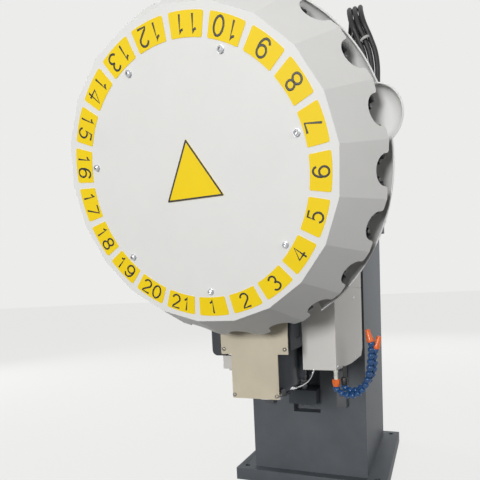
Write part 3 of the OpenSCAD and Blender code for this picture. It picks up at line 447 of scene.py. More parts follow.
def number_film(number):
    """One number as a thin film lying on its tag."""
    digits = str(number)
    curve = bpy.data.curves.new("digits", "CURVE")
    curve.dimensions = "3D"
    curve.bevel_depth = STROKE / 2
    curve.bevel_resolution = 1
    curve.use_fill_caps = True
    for slot, digit in enumerate(digits):
        left = (slot - len(digits) / 2) * DIGIT_STEP + (DIGIT_STEP - DIGIT_W) / 2
        for stroke in DIGITS[digit]:
            line = curve.splines.new("POLY")
            line.points.add(len(stroke) - 1)
            for knot, (x, y) in zip(line.points, stroke):
                knot.co = (left + x * DIGIT_W, (y - 0.5) * DIGIT_H, 0, 1)
    drawn = bpy.data.objects.new("digits", curve)
    bpy.context.scene.collection.objects.link(drawn)
    only(drawn)
    bpy.ops.object.convert(target="MESH")
    film = bpy.context.object
    press = Matrix.Diagonal((NUMBER_HEIGHT, NUMBER_HEIGHT, FILM * 2 / STROKE, 1))
    seat = Matrix.Translation((TAG_MIDDLE_R, 0, TAG_TOP)) @ Matrix.Rotation(math.pi / 2, 4, "Z")
    film.data.transform(station(number) @ seat @ press)
    return film


films = [number_film(number) for number in range(1, STATIONS + 1)]
numbers = join("station_numbers", films)
coat(numbers, black_ink_and_shade)
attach(numbers, "turret")
print("numbers:", len(numbers.data.polygons), "faces")

# %% [markdown]
# ## The sign plate
# The triangular plate in the middle is thin sheet with small round corners and a dark rim. Both are
# drawn as triangles with round corners: the plate is one face given its thickness and a soft edge, and
# the rim is a ring between two triangles, a hair above it. The field inside stays bare.

# %% Draw the plate and its rim
SIGN_R, SIGN_CORNER, SIGN_TOP = 66 * MM, 1.6 * MM, 1.0 * MM
RIM_OUT, RIM_IN = 0.5 * MM, 6.4 * MM


def rounded_triangle(reach, corner, steps=8):
    """Points round a triangle with round corners, whose sharp corners would lie at reach."""
    points = []
    for tip in (90, 210, 330):
        middle = Vector((math.cos(math.radians(tip)), math.sin(math.radians(tip)))) * (reach - 2 * corner)
        for k in range(steps + 1):
            turn = math.radians(tip - 60 + 120 * k / steps)
            points.append(middle + Vector((math.cos(turn), math.sin(turn))) * corner)
    return points


plate_points = rounded_triangle(SIGN_R, SIGN_CORNER)
plate_mesh = bpy.data.meshes.new("sign")
plate_mesh.from_pydata([(*p, 0) for p in plate_points], [], [tuple(range(len(plate_points)))])
sign = bpy.data.objects.new("sign", plate_mesh)
bpy.context.scene.collection.objects.link(sign)
shape_with("SOLIDIFY", sign, thickness=SIGN_TOP, offset=1)
shape_with("BEVEL", sign, width=0.25 * MM, limit_method="ANGLE")
plate_mesh.transform(TURRET)
coat(sign, FINISHES["tag_yellow"])
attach(sign, "turret")
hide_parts("sign_plate")

outer = rounded_triangle(SIGN_R - RIM_OUT, SIGN_CORNER)
inner = rounded_triangle(SIGN_R - RIM_IN, SIGN_CORNER * 0.5)
count = len(outer)
rim_mesh = bpy.data.meshes.new("sign_rim")
rim_mesh.from_pydata([(*p, SIGN_TOP + FILM) for p in outer + inner], [],
                     [(i, (i + 1) % count, count + (i + 1) % count, count + i) for i in range(count)])
sign_rim = bpy.data.objects.new("sign_rim", rim_mesh)
bpy.context.scene.collection.objects.link(sign_rim)
shape_with("SOLIDIFY", sign_rim, thickness=FILM, offset=0)
rim_mesh.transform(TURRET)
coat(sign_rim, black_ink_and_shade)
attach(sign_rim, "turret")
print("rim faces:", len(rim_mesh.polygons))

# %% [markdown]
# ## Small bolts
# Most bolts on such a machine are socket screws. One is modelled with care, as a cylinder whose top edge
# is beveled and whose socket is inset and pushed in, and the rest are copies set where bolts go. The
# socket is left round, because its six sides are too small to see.

# %% Model one socket screw


def socket_screw(radius, height):
    """A socket screw's head standing on the XY plane."""
    bpy.ops.object.select_all(action="DESELECT")
    bpy.ops.mesh.primitive_cylinder_add(vertices=24, radius=radius, depth=height,
                                        location=(0, 0, height / 2))
    screw = bpy.context.object
    bpy.ops.object.mode_set(mode="EDIT")
    bpy.ops.mesh.select_all(action="DESELECT")
    bpy.ops.object.mode_set(mode="OBJECT")
    for face in screw.data.polygons:
        face.select = face.normal.z > 0.9
    bpy.ops.object.mode_set(mode="EDIT")
    bpy.ops.mesh.bevel(offset=radius * 0.12, segments=2)
    bpy.ops.mesh.select_all(action="DESELECT")
    bpy.ops.object.mode_set(mode="OBJECT")
    for face in screw.data.polygons:
        face.select = face.normal.z > 0.99
    bpy.ops.object.mode_set(mode="EDIT")
    bpy.ops.mesh.inset(thickness=radius * 0.36)
    bpy.ops.mesh.extrude_region_move(TRANSFORM_OT_translate={"value": (0, 0, -height * 0.6)})
    bpy.ops.object.mode_set(mode="OBJECT")
    bpy.ops.object.transform_apply(location=True)
    bpy.ops.object.shade_smooth_by_angle(angle=math.radians(30))
    return screw


def set_screws(name, radius, height, places, body, material="screw_steel"):
    """Copies of one screw at each place, joined into one piece."""
    pattern = socket_screw(radius, height)
    copies = []
    for place in places:
        copy = bpy.data.objects.new(name, pattern.data.copy())
        bpy.context.scene.collection.objects.link(copy)
        copy.data.transform(place)
        copies.append(copy)
    bpy.data.objects.remove(pattern)
    group = join(name, copies)
    coat(group, FINISHES[material])
    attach(group, body)


def facing(point, normal):
    """A place whose Z runs along a normal."""
    return Matrix.Translation(point) @ Vector(normal).to_track_quat("Z", "Y").to_matrix().to_4x4()


# %% [markdown]
# ## Where the bolts go
# The bracket is bolted to the column's sides, and each motor has four bolts at its flange. The gear
# housing has a ring of bolts, without the two places at the top that its motor covers. The head's saddle
# is held to its guide blocks from the front.

# %% Set the screws
BRACKET_X, RING_R, RING_BACK, MOTOR_CLEAR = 240, 104 * MM, 190 * MM, 0.5
SPINDLE_Y, HEAD_TOP = 318, -20
LIFT_Y, LIFT_MOTOR_SEAT = 620, 388
MOTOR_SIDE = 130 * MM

bracket_places = [facing(on_disc(s * BRACKET_X, y, z), (s, 0, 0))
                  for s in (-1, 1) for y in (680, 760) for z in (20, 140)]
set_screws("bracket_screws", 11 * MM, 9 * MM, bracket_places, "base")

ring_places = []
for k in range(8):
    turn = Matrix.Rotation(math.radians(22.5 + 45 * k), 4, "Z")
    spot = TURRET @ turn @ Vector((RING_R, 0, -RING_BACK))
    if abs(turn.to_euler().z - math.pi / 2) > MOTOR_CLEAR:
        ring_places.append(facing(spot, TURRET.to_3x3() @ Vector((0, 0, -1))))
set_screws("gear_housing_screws", 6 * MM, 5 * MM, ring_places, "carriage")


def flange_corners(middle):
    """Four places near the corners of a motor's square flange that lies level."""
    half = MOTOR_SIDE / 2 - 9 * MM
    return [facing(middle + Vector((sx * half, sy * half, 0)), (0, 0, 1))
            for sx in (-1, 1) for sy in (-1, 1)]


lift_corners = flange_corners(on_disc(0, LIFT_Y, LIFT_MOTOR_SEAT + 16))
set_screws("z_motor_screws", 5.5 * MM, 6 * MM, lift_corners, "base")
head_corners = flange_corners(on_disc(0, SPINDLE_Y, HEAD_TOP + 18))
set_screws("spindle_motor_screws", 5.5 * MM, 6 * MM, head_corners, "head")
saddle_places = [facing(on_disc(s * 120 + dx, 574, z + dz), (0, -1, 0))
                 for s in (-1, 1) for z in (-90, -270) for dx in (-16, 16) for dz in (-24, 24)]
set_screws("saddle_screws", 5 * MM, 5 * MM, saddle_places, "head")
print("screws are set")

# %% [markdown]
# ## The ends of the jaws
# Every station has a gripper: a fixed limb on the arm and a sprung claw beside it. Each end carries a
# raised pad with round edges, which is what shows at the ends of the windows, and small screws hold their
# tips. The claw's pad and screw have to move with their own claw, so each claw gets pieces of its own.

# %% Find the grippers
face_apothem = FACE_CORNER_R * math.cos(math.pi / STATIONS)
rim_apothem = RIM_CORNER_R * math.cos(math.pi / STATIONS)
slope = math.atan2(rim_apothem - face_apothem, COVER_DEPTH)
window_at = COVER_DEPTH / math.cos(slope) - 5.5 * MM
GRIP_INSET = 22 * MM
grip_out = face_apothem + window_at * math.sin(slope) - GRIP_INSET * math.cos(TILT)
grip_in = window_at * math.cos(slope) + GRIP_INSET * math.sin(TILT)


def gripper(number):
    """The place of a station's gripper: Z runs out along the tool and X towards the head."""
    return (station(number) @ Matrix.Translation((grip_out, 0, -grip_in))
            @ Matrix.Rotation(math.pi / 2 - TILT, 4, "Y"))


print("gripper centre:", round(grip_out, 4), "out,", round(grip_in, 4), "in")

# %% Add the pads
PAD_SIZE, PAD_SOFT = (12 * MM, 8 * MM, 9 * MM), 2 * MM
PAD_AT, PAD_TURN = (17 * MM, 24.5 * MM, 7.5 * MM), math.radians(35)


def soft_box(size, soft):
    """A box round the origin whose edges are rounded."""
    bpy.ops.object.select_all(action="DESELECT")
    bpy.ops.mesh.primitive_cube_add(size=1)
    box = bpy.context.object
    box.data.transform(Matrix.Diagonal((*size, 1)))
    shape_with("BEVEL", box, width=soft, segments=3)
    return box


def finger_pads(name, numbers, side, body):
    """The raised pads on the jaws' ends, one at each numbered station."""
    pads = []
    for number in numbers:
        pad = soft_box(PAD_SIZE, PAD_SOFT)
        pad.data.transform(gripper(number) @ Matrix.Translation((PAD_AT[0], side * PAD_AT[1], PAD_AT[2]))
                           @ Matrix.Rotation(-side * PAD_TURN, 4, "Z"))
        pads.append(pad)
    group = join(name, pads)
    bpy.ops.object.shade_smooth_by_angle(angle=math.radians(40))
    coat(group, FINISHES["gripper_dark"])
    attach(group, body)


finger_pads("limb_pads", range(1, STATIONS + 1), 1, "turret")
for i in range(1, STATIONS + 1):
    finger_pads(f"claw_pad_{i:02d}", [i], -1, f"claw_body_{i:02d}")
print("pads:", 2 * STATIONS)

# %% Set the jaw screws
JAW_TOP = 4 * MM
JAW_TIP = (17.8 * MM, 15.0 * MM)
JAW_ROOT = (-31 * MM, 14 * MM)
JAW_SCREW_R, JAW_SCREW_H = 2.9 * MM, 1.8 * MM

limb_places = [gripper(i) @ Matrix.Translation((*spot, JAW_TOP))
               for i in range(1, STATIONS + 1) for spot in (JAW_TIP, JAW_ROOT)]
set_screws("limb_screws", JAW_SCREW_R, JAW_SCREW_H, limb_places, "turret")
for i in range(1, STATIONS + 1):
    tip_place = gripper(i) @ Matrix.Translation((JAW_TIP[0], -JAW_TIP[1], JAW_TOP))
    set_screws(f"claw_screw_{i:02d}", JAW_SCREW_R, JAW_SCREW_H, [tip_place], f"claw_body_{i:02d}")
print("jaw screws:", len(limb_places) + STATIONS)

# %% [markdown]
# ## The guard behind the turret
# A shallow white dish of sheet metal stands behind the tools. Its corner is rounded, a wedge is cut out
# below where the head comes in, and a round scoop bulges from its edge where an operator lifts a tool
# out. The dish is turned from half its outline, the wedge's faces are deleted, and Solidify gives the
# sheet its thickness. A boolean makes room for the scoop, which is turned too and then joined.

# %% Turn the dish
SCOOP_AT, SCOOP_R, SCOOP_H = 302, 51.5, 20
GUARD_GAP, GAP_R = 32, 195
DISH_DEPTH = 150 * MM
CORNER_R = 30 * MM


def dish_corner(k, steps=9):
    """A point on the rounded corner between the dish's floor and its edge."""
    turn = math.radians(90 * k / steps)
    radius = GUARD_R - GUARD_T / 2 - CORNER_R * (1 - math.sin(turn))
    return radius, -DISH_DEPTH + GUARD_T / 2 + (DISH_DEPTH - GUARD_DEPTH) * (1 - math.cos(turn)) * 0.97


floor_rings = [(r * MM, -DISH_DEPTH + GUARD_T / 2) for r in (34, 90, GAP_R, 260)]
guard = turned("guard", floor_rings + [dish_corner(k) for k in range(10)], steps=180)
bpy.ops.object.mode_set(mode="EDIT")
bpy.ops.mesh.select_all(action="DESELECT")
bpy.ops.object.mode_set(mode="OBJECT")
for face in guard.data.polygons:
    turn = math.degrees(math.atan2(face.center.x, -face.center.y))
    face.select = abs(turn) < GUARD_GAP and math.hypot(face.center.x, face.center.y) > GAP_R * MM
bpy.ops.object.mode_set(mode="EDIT")
bpy.ops.mesh.delete(type="FACE")
bpy.ops.object.mode_set(mode="OBJECT")
shape_with("SOLIDIFY", guard, thickness=GUARD_T, offset=0)
print("dish faces:", len(guard.data.polygons))

# %% Add the scoop
BOWL_FLOOR, BOWL_CORNER, CUT_LENGTH = -149, 20, 0.08

scoop_turn = math.radians(6 * 360 / STATIONS - 90)
scoop_place = Matrix.Rotation(scoop_turn, 4, "Z") @ Matrix.Translation((SCOOP_AT * MM, 0, 0))
bpy.ops.object.select_all(action="DESELECT")
bpy.ops.mesh.primitive_cylinder_add(vertices=96, radius=(SCOOP_R - 1) * MM, depth=CUT_LENGTH)
cutter = bpy.context.object
cutter.data.transform(scoop_place @ Matrix.Translation((0, 0, -DISH_DEPTH)))
shape_with("BOOLEAN", guard, object=cutter, operation="DIFFERENCE", solver="EXACT")
bpy.data.objects.remove(cutter)
bowl_outline = [(0, BOWL_FLOOR), (16, BOWL_FLOOR)]
for k in range(10):
    turn = math.radians(90 * k / 9)
    bowl_outline.append((SCOOP_R - 1 - BOWL_CORNER * (1 - math.sin(turn)),
                         BOWL_FLOOR + SCOOP_H * 0.95 * (1 - math.cos(turn))))
bowl = turned("scoop", in_mm(*bowl_outline), steps=96)
shape_with("SOLIDIFY", bowl, thickness=GUARD_T, offset=0)
bowl.data.transform(scoop_place)
print("scoop reaches:", round(SCOOP_AT + SCOOP_R, 1), "mm")

# %% [markdown]
# ## The guard's rolled edge
# Sheet metal this wide has its free edge rolled over, which is why it shows as a bright line. Round arcs
# follow the dish's edge and the outer edge of the scoop, and stop where the two meet.

# %% Roll the guard's edge
EDGE_AT = GUARD_R - GUARD_T / 2
reach_cos = ((SCOOP_AT * MM) ** 2 + EDGE_AT ** 2 - (SCOOP_R * MM) ** 2) / (2 * SCOOP_AT * MM * EDGE_AT)
scoop_half = math.degrees(math.acos(reach_cos))
scoop_mid = math.degrees(scoop_turn)


def edge_arc(centre, radius, first, last, steps):
    """Points along an arc of the guard's edge between two turns, in degrees."""
    turns = [math.radians(first + (last - first) * k / steps) for k in range(steps + 1)]
    return [centre + Vector((radius * math.cos(t), radius * math.sin(t), -GUARD_DEPTH)) for t in turns]


meet = math.degrees(math.atan2(EDGE_AT * math.sin(math.radians(scoop_half)),
                               EDGE_AT * math.cos(math.radians(scoop_half)) - SCOOP_AT * MM))
hub = Vector((0, 0, 0))
scoop_hub = scoop_place @ Vector((0, 0, 0))
low_arc = edge_arc(hub, EDGE_AT, -90 + GUARD_GAP, scoop_mid - scoop_half, 12)
high_arc = edge_arc(hub, EDGE_AT, scoop_mid + scoop_half, 270 - GUARD_GAP, 40)
scoop_arc = edge_arc(scoop_hub, (SCOOP_R - 1) * MM, scoop_mid - meet, scoop_mid + meet, 16)


def tube_through(name, points, radius):
    """A smooth round tube through points, as a mesh."""
    curve = bpy.data.curves.new(name, "CURVE")
    curve.dimensions = "3D"
    curve.bevel_depth = radius
    curve.bevel_resolution = 3
    curve.use_fill_caps = True
    curve.resolution_u = 8
    line = curve.splines.new("BEZIER")
    line.bezier_points.add(len(points) - 1)
    for knot, point in zip(line.bezier_points, points):
        knot.co = point
        knot.handle_left_type = knot.handle_right_type = "AUTO"
    tube = bpy.data.objects.new(name, curve)
    bpy.context.scene.collection.objects.link(tube)
    only(tube)
    bpy.ops.object.convert(target="MESH")
    bpy.ops.object.shade_smooth_by_angle(angle=math.radians(40))
    return bpy.context.object


BEAD_R = 1.6 * MM
beads = [tube_through("bead", arc_points, BEAD_R) for arc_points in (low_arc, high_arc, scoop_arc)]
guard = join("rear_guard_sheet", [guard, bowl, *beads])
guard.data.transform(TURRET)
dress(guard, "carriage", "cover_white")
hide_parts("rear_guard")
print("guard faces:", len(guard.data.polygons))

# %% [markdown]
# ## The cable bundle
# Three black cables rise from the bracket's clamp, run over behind the turret and end in the box on the
# column. Each is a curve through the same points as its solid, with handles that smooth the bends, and
# a round bevel gives it its thickness. Two ties hold the three together.

# %% Lay the cables
CABLE_R = 5.5 * MM
CABLE_OFFSETS = ((-12, 0, 0), (0, 0, 0), (12, 0, 0))
CABLE_ROUTE = ((258, 320, 84), (258, 320, 110), (264, 319, 165), (269, 317, 230), (268, 315, 297),
               (257, 312, 335), (245, 306, 365), (236, 322, 402), (228, 380, 440), (212, 470, 452),
               (180, 560, 425), (156, 630, 375), (150, 660, 365), (150, 704, 365))

cables = []
for offset in CABLE_OFFSETS:
    route = [on_disc(*(p + q for p, q in zip(point, offset))) for point in CABLE_ROUTE]
    cables.append(tube_through("cable", route, CABLE_R))
cable_bundle = join("cable_bundle", cables)
coat(cable_bundle, FINISHES["cable_black"])
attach(cable_bundle, "base")
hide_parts("conduit_cables")
print("cables:", len(cables))

# %% Tie the bundle
TIE_REACH, TIE_R = 13.5 * MM, 1.4 * MM
TIE_PRESS = Matrix.Diagonal((1, 0.86, 2.2, 1))


def cable_tie(name, centre, along, material):
    """A flat strap round the bundle."""
    bpy.ops.object.select_all(action="DESELECT")
    bpy.ops.mesh.primitive_torus_add(major_radius=TIE_REACH, minor_radius=TIE_R, major_segments=40,
                                     minor_segments=8)
    tie = bpy.context.object
    tie.name = name
    tie.data.transform(TIE_PRESS)
    tie.data.transform(facing(centre, along))
    bpy.ops.object.shade_smooth()
    coat(tie, material)
    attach(tie, "base")


cable_tie("cable_tie_low", on_disc(264, 323, 165), (8, -2, 120), black_ink_and_shade)
tie_pale = finish("tie_pale", (0.42, 0.42, 0.41), 0.4, grain=900, bump=0.05, mottle=0.1)
cable_tie("cable_tie_high", on_disc(257, 316, 336), (-20, -8, 62), tie_pale)
print("the bundle is tied")

# %% [markdown]
# ## The thread of the ball screw
# A plain rod would give the lift away as a stand-in. A grid is rolled into a tube, and each of its points
# sinks by how near it is to the groove, which climbs one lead a turn.

# %% Roll the ball screw
LEAD = 16 * MM
GROOVE_DEPTH, GROOVE_SHARE = 2.2 * MM, 0.17
SCREW_R, JOURNAL_R = 14 * MM, 10 * MM
SCREW_LOW, SCREW_HIGH = on_disc(0, LIFT_Y, -500), on_disc(0, LIFT_Y, 255)
ROUND, ROWS = 28, 560


def roll_thread():
    """A grid rolled into a threaded rod."""
    bpy.ops.object.select_all(action="DESELECT")
    bpy.ops.mesh.primitive_grid_add(x_subdivisions=ROUND, y_subdivisions=ROWS, size=2)
    rod = bpy.context.object
    length = SCREW_HIGH.z - SCREW_LOW.z
    for vertex in rod.data.vertices:
        turn = (vertex.co.x + 1) / 2
        along = (vertex.co.y + 1) / 2 * length
        phase = (along / LEAD + turn) % 1.0
        near = max(0.0, 1 - (abs(phase - 0.5) / GROOVE_SHARE) ** 2)
        radius = SCREW_R - GROOVE_DEPTH * math.sqrt(near)
        angle = turn * math.tau
        vertex.co = (radius * math.cos(angle), radius * math.sin(angle), along)
    only(rod)
    bpy.ops.object.mode_set(mode="EDIT")
    bpy.ops.mesh.select_all(action="SELECT")
    bpy.ops.mesh.remove_doubles(threshold=0.01 * MM)
    bpy.ops.mesh.normals_make_consistent(inside=False)
    bpy.ops.object.mode_set(mode="OBJECT")
    rod.data.transform(Matrix.Translation(SCREW_LOW))
    bpy.ops.object.shade_smooth_by_angle(angle=math.radians(35))
    return rod


thread = roll_thread()


def journal(low, high):
    """A plain end of the ball screw with chamfered edges."""
    bpy.ops.object.select_all(action="DESELECT")
    middle = (low + high) / 2
    bpy.ops.mesh.primitive_cylinder_add(vertices=40, radius=JOURNAL_R, depth=(high - low).length,
                                        location=middle)
    end = bpy.context.object
    bpy.ops.object.transform_apply(location=True)
    shape_with("BEVEL", end, width=0.8 * MM, limit_method="ANGLE")
    bpy.ops.object.shade_smooth_by_angle(angle=math.radians(30))
    return end


screw_ends = [journal(on_disc(0, LIFT_Y, low), on_disc(0, LIFT_Y, high))
              for low, high in ((-560, -498), (253, 340))]
ball_screw = join("ball_screw_thread", [thread, *screw_ends])
# The thread takes the rails' steel, whose dark colour is painted shade.
coat(ball_screw, FINISHES["rail_steel"])
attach(ball_screw, "ballscrew")
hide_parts("z_ballscrew")
print("thread faces:", len(ball_screw.data.polygons))

# %% [markdown]
# ## The coolant hoses
# Two hoses of snap-together links bring coolant to the tool. Each link is a small bell that takes the
# ball of the next, so a hose keeps the bend it is given. One link is turned with care and copied along
# the route, turned towards the next point each time.

# %% Thread the links
HOSE_A = ((166, 340, -438), (177, 340, -447), (190, 339, -452), (204, 337, -452), (217, 335, -447),
          (228, 333, -438), (236, 331, -426), (241, 330, -413), (244, 330, -399), (246, 330, -385),
          (247, 330, -371), (248, 330, -357), (248, 330, -343), (248, 330, -329))
HOSE_B = ((184, 352, -436), (196, 352, -443), (210, 350, -443), (223, 348, -437), (234.5, 348, -428.5),
          (245, 347, -418.5), (253, 346, -406.5), (258.5, 344, -393.5), (261.5, 341.5, -380),
          (262.5, 339.5, -366), (266, 338.5, -352.5))
LEAN_A, LEAN_B = (5.5, 0, 0.5), (-5, -1, 8)


def eased(route, lean):
    """The route with its free end leaning over a little, more and more towards the end."""
    last = len(route) - 1
    return [on_disc(*(p + q * (k / last) ** 2 for p, q in zip(point, lean)))
            for k, point in enumerate(route)]


def along(points, k):
    """The way that a route runs at one of its points."""
    return (points[min(k + 1, len(points) - 1)] - points[max(k - 1, 0)]).normalized()


link = turned("link", in_mm((0, -7.4), (4.6, -7.2), (5.6, -5), (7.2, -2), (8.1, 1), (8.3, 3.6), (7.9, 5.4),
                            (6.8, 6.6), (4.2, 7.2), (0, 7.4)), steps=24, smooth=50)
links_made = []
hose_lines = [eased(HOSE_A, LEAN_A), eased(HOSE_B, LEAN_B)]
for line in hose_lines:
    for k, point in enumerate(line):
        bell = bpy.data.objects.new("bell", link.data.copy())
        bpy.context.scene.collection.objects.link(bell)
        bell.data.transform(facing(point, along(line, k)))
        links_made.append(bell)
bpy.data.objects.remove(link)
dress(join("hose_links", links_made), "head", "hose_blue")
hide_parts("coolant_hoses")
print("links:", len(links_made))

# %% [markdown]
# ## Nozzles and hose ends
# The hoses end in two orange nozzles that lean apart. The near hose starts below the side cover, in a
# pale sleeve with an orange hexagon nut, and the far one beside the cover, in a socket coloured black as
# painted shade for the dark under the cover. All are turned, and the nut is a six-sided cylinder whose
# edges are beveled.

# %% Turn the nozzles and the nut
NEAR_TUBE, FAR_TUBE, SIDE_LOW = (166, 340), (184, 352), -391


def nozzle(line, aim):
    """One nozzle that starts at the last link and points along an aim."""
    shape = turned("nozzle", in_mm((0, 0), (7.6, 0), (8.6, 0.8), (8.6, 6), (8.1, 8.2), (7.6, 10),
                                   (5.5, 28.5), (4.9, 29.5), (3.5, 29.5), (3, 26), (0, 26)), steps=40)
    aim = Vector(aim).normalized()
    shape.data.transform(facing(line[-1] + aim * 6.4 * MM, aim))
    return shape


def nut(place, radius, height):
    """A six-sided nut with soft edges that stands below a place."""
    bpy.ops.object.select_all(action="DESELECT")
    bpy.ops.mesh.primitive_cylinder_add(vertices=6, radius=radius, depth=height)
    shape = bpy.context.object
    shape_with("BEVEL", shape, width=0.9 * MM, segments=2)
    shape.data.transform(Matrix.Translation(place - Vector((0, 0, height / 2))))
    return shape


orange = [nozzle(hose_lines[0], (-3.2, -1, 13.5)), nozzle(hose_lines[1], (4, -1, 13.5)),
          nut(on_disc(*NEAR_TUBE, -415), 10.2 * MM, 9 * MM)]
collar = turned("collar", in_mm((0, 0), (9, 0), (9, -1), (7.2, -8.5), (6.4, -9), (0, -9)), steps=40)
collar.data.transform(Matrix.Translation(on_disc(*NEAR_TUBE, -423.5)))
orange.append(collar)
dress(join("orange_nozzles", orange), "head", "nozzle_orange")
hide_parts("hose_nozzles")
print("nozzle faces:", len(bpy.context.object.data.polygons))

# %% Turn the sleeves
sleeve_clear = finish("sleeve_clear", (0.66, 0.66, 0.60), 0.25, grain=600, bump=0.03, mottle=0.1)
near_sleeve = turned("hose_sleeve", in_mm((0, 6), (5, 6), (5, -1), (5.6, -2), (5.6, -6), (5, -7),
                                          (5, -26), (0, -26)))
near_sleeve.data.transform(Matrix.Translation(on_disc(*NEAR_TUBE, SIDE_LOW)))
dress(near_sleeve, "head", "side_white", sleeve_clear)
far_sleeve = turned("hose_socket", in_mm((0, 6), (4, 6), (4, -20), (7.4, -21), (8.4, -23), (8.4, -38),
                                         (7, -40), (0, -40)))
far_sleeve.data.transform(Matrix.Translation(on_disc(*FAR_TUBE, SIDE_LOW)))
# The socket's black is painted shade for the dark below the side cover.
dress(far_sleeve, "head", "cable_black", black_ink_and_shade)
print("sleeves:", near_sleeve.name, far_sleeve.name)

# %% [markdown]
# ## The spindle's housing
# Below the head the spindle sits in a smooth dark cylinder with a tapered end, and behind it the casting
# carries on as a rounder, wider block. The cylinder is turned, with its bore left open. The block is a
# turned shape too, cut flat in front by a bisect.

# %% Turn the housing
EAR_SIZE, EAR_SOFT, EAR_AT = (11 * MM, 32 * MM, 15 * MM), 2 * MM, (51.5, 266, -432.5)

sleeve = turned("spindle_sleeve", in_mm((32.3, -452), (52, -452), (55, -450.5), (70, -432), (72.5, -428),
                                        (73.5, -424), (74, -418), (74, -333), (62, -333), (62, -40),
                                        (38.3, -40), (38.3, -440), (32.3, -440), (32.3, -452)),
                steps=120, smooth=32)
sleeve.data.transform(Matrix.Translation(on_disc(0, SPINDLE_Y, 0)))
ears = []
for side in (-1, 1):
    ear = soft_box(EAR_SIZE, EAR_SOFT)
    ear.data.transform(Matrix.Translation(on_disc(side * EAR_AT[0], *EAR_AT[1:])))
    ears.append(ear)
dress(join("spindle_housing_smooth", [sleeve, *ears]), "head", "spindle_dark")
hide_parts("spindle_housing")
print("housing faces:", len(bpy.context.object.data.polygons))

# %% Add its screws and the block behind it
TAPER_MID_R, TAPER_MID_Z, TAPER_FALL = 63, -442, -0.85
BLOCK_Y = 340

under_places = []
for k in range(8):
    turn = math.radians(22.5 + 45 * k)
    x, y = math.cos(turn), math.sin(turn)
    under_places.append(facing(on_disc(TAPER_MID_R * x, SPINDLE_Y + TAPER_MID_R * y, TAPER_MID_Z),
                               (x, y, TAPER_FALL)))
set_screws("housing_screws", 4.5 * MM, 2.5 * MM, under_places, "head", "motor_black")

block = turned("housing_back", in_mm((0, -418), (80, -418), (85.5, -414), (87, -408), (87, -300),
                                     (0, -300)), steps=96, smooth=32)
bpy.ops.object.mode_set(mode="EDIT")
bpy.ops.mesh.select_all(action="SELECT")
bpy.ops.mesh.bisect(plane_co=(0, 2 * MM, 0), plane_no=(0, 1, 0), clear_inner=True, use_fill=True)
bpy.ops.object.mode_set(mode="OBJECT")
block.data.transform(Matrix.Translation(on_disc(0, BLOCK_Y, 0)))
dress(block, "head", "spindle_dark")
print("block faces:", len(block.data.polygons))

# %% [markdown]
# ## The air pipe at the spindle's nose
# A thin steel pipe blows the nose clean. It leaves the head behind the white cover and bends down and
# forward to the foot of the spindle's housing, where it shows as one bright curve. A curve through a few
# points with a round bevel is all it takes, and a small turned fitting holds each end.

# %% Bend the pipe
PIPE_ROUTE = ((97, 402, -372), (95.5, 399, -392), (93, 396, -408.4), (89.8, 392, -417),
              (86.1, 380, -426.5), (79, 352, -433.5), (74.7, 318, -432.7), (72.7, 300, -431.2),
              (64, 296, -430))
PIPE_R = 2.9 * MM
pipe_points = [on_disc(*point) for point in PIPE_ROUTE]
pipe = tube_through("pipe", pipe_points, PIPE_R)
fittings = []
for point, aim in ((pipe_points[0], (0.1, 0.15, 1)), (pipe_points[-1], (-1, -0.4, 0.1))):
    fitting = turned("fitting", in_mm((0, -9), (3.2, -9), (4.2, -8), (4.2, -2), (4.8, -1), (4.8, 4),
                                      (0, 4)), steps=24)
    fitting.data.transform(facing(point, aim))
    fittings.append(fitting)
dress(join("air_pipe", [pipe, *fittings]), "head", "screw_steel", FINISHES["spindle_steel"])
print("pipe faces:", len(bpy.context.object.data.polygons))

# %% [markdown]
# ## Screws of the side cover
# The white cover beside the head is one folded box. Three low domed screws hold its side. A domed head
# is a ball that is squashed and cut flat below.

# %% Dome screws
SIDE_X, SIDE_FRONT, SIDE_FLARE = 171, 325, 30 / 205


def dome_screw(radius, height):
    """A low domed head with a round recess, standing on the XY plane."""
    bpy.ops.object.select_all(action="DESELECT")
    bpy.ops.mesh.primitive_uv_sphere_add(segments=32, ring_count=16, radius=radius)
    dome = bpy.context.object
    dome.data.transform(Matrix.Diagonal((1, 1, height / radius, 1)))
    bpy.ops.object.mode_set(mode="EDIT")
    bpy.ops.mesh.select_all(action="SELECT")
    bpy.ops.mesh.bisect(plane_co=(0, 0, 0), plane_no=(0, 0, 1), clear_inner=True, use_fill=True)
    bpy.ops.mesh.select_all(action="SELECT")
    bpy.ops.mesh.bisect(plane_co=(0, 0, height * 0.9), plane_no=(0, 0, 1), clear_outer=True,
                        use_fill=True)
    bpy.ops.mesh.inset(thickness=radius * 0.08)
    bpy.ops.mesh.extrude_region_move(TRANSFORM_OT_translate={"value": (0, 0, -height * 0.5)})
    bpy.ops.object.mode_set(mode="OBJECT")
    bpy.ops.object.shade_smooth_by_angle(angle=math.radians(35))
    return dome


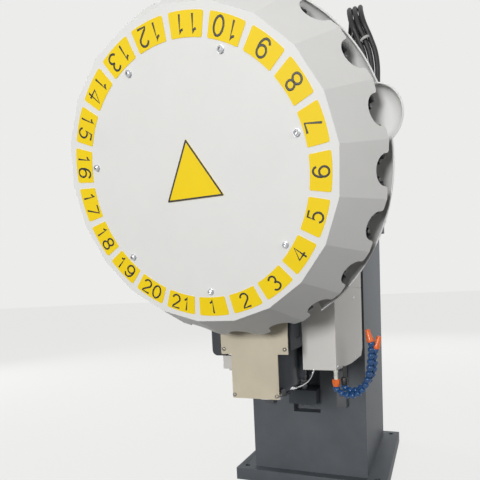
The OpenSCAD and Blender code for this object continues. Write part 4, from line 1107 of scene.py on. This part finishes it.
flare_normal = Vector((1, -SIDE_FLARE, 0)).normalized()
domes = []
for y, z in ((466, -221), (466, -379), (336, -383)):
    dome = dome_screw(4.2 * MM, 2.2 * MM)
    dome.data.transform(facing(on_disc(SIDE_X + (y - SIDE_FRONT) * SIDE_FLARE, y, z), flare_normal))
    domes.append(dome)
side_screws = join("side_cover_screws", domes)
coat(side_screws, FINISHES["screw_steel"])
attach(side_screws, "head")
print("side screws:", len(domes))

# %% [markdown]
# ## Floor
# A plain pale floor catches the soft shadow. It is wide, and nearly as pale as the world at its far
# edge, so the horizon is faint. To the camera it glows, and to the object it is a plain dark floor that
# throws little light up from below.

# %% Lay the floor
FLOOR_GLOW, FLOOR_SEEN, FLOOR_PLAIN = 0.76, 0.08, 0.13

bpy.ops.object.select_all(action="DESELECT")
bpy.ops.mesh.primitive_plane_add(size=120)
floor = bpy.context.object
floor.name = "floor"
floor_paint = bpy.data.materials.new("floor_paint")
floor_paint.use_nodes = True
tree = floor_paint.node_tree
tree.nodes.clear()
plain = tree.nodes.new("ShaderNodeBsdfDiffuse")
plain.inputs["Color"].default_value = (FLOOR_PLAIN, FLOOR_PLAIN, FLOOR_PLAIN, 1)
shown = tree.nodes.new("ShaderNodeBsdfDiffuse")
shown.inputs["Color"].default_value = (FLOOR_SEEN, FLOOR_SEEN, FLOOR_SEEN, 1)
glow = tree.nodes.new("ShaderNodeEmission")
glow.inputs["Color"].default_value = (1, 1, 0.99, 1)
glow.inputs["Strength"].default_value = FLOOR_GLOW
both = tree.nodes.new("ShaderNodeAddShader")
which = tree.nodes.new("ShaderNodeMixShader")
floor_out = tree.nodes.new("ShaderNodeOutputMaterial")
tree.links.new(shown.outputs[0], both.inputs[0])
tree.links.new(glow.outputs[0], both.inputs[1])
tree.links.new(seen_by_eye(tree), which.inputs["Fac"])
tree.links.new(plain.outputs[0], which.inputs[1])
tree.links.new(both.outputs[0], which.inputs[2])
tree.links.new(which.outputs[0], floor_out.inputs["Surface"])
floor.data.materials.append(floor_paint)

# %% Clear the selection
bpy.ops.object.select_all(action="DESELECT")
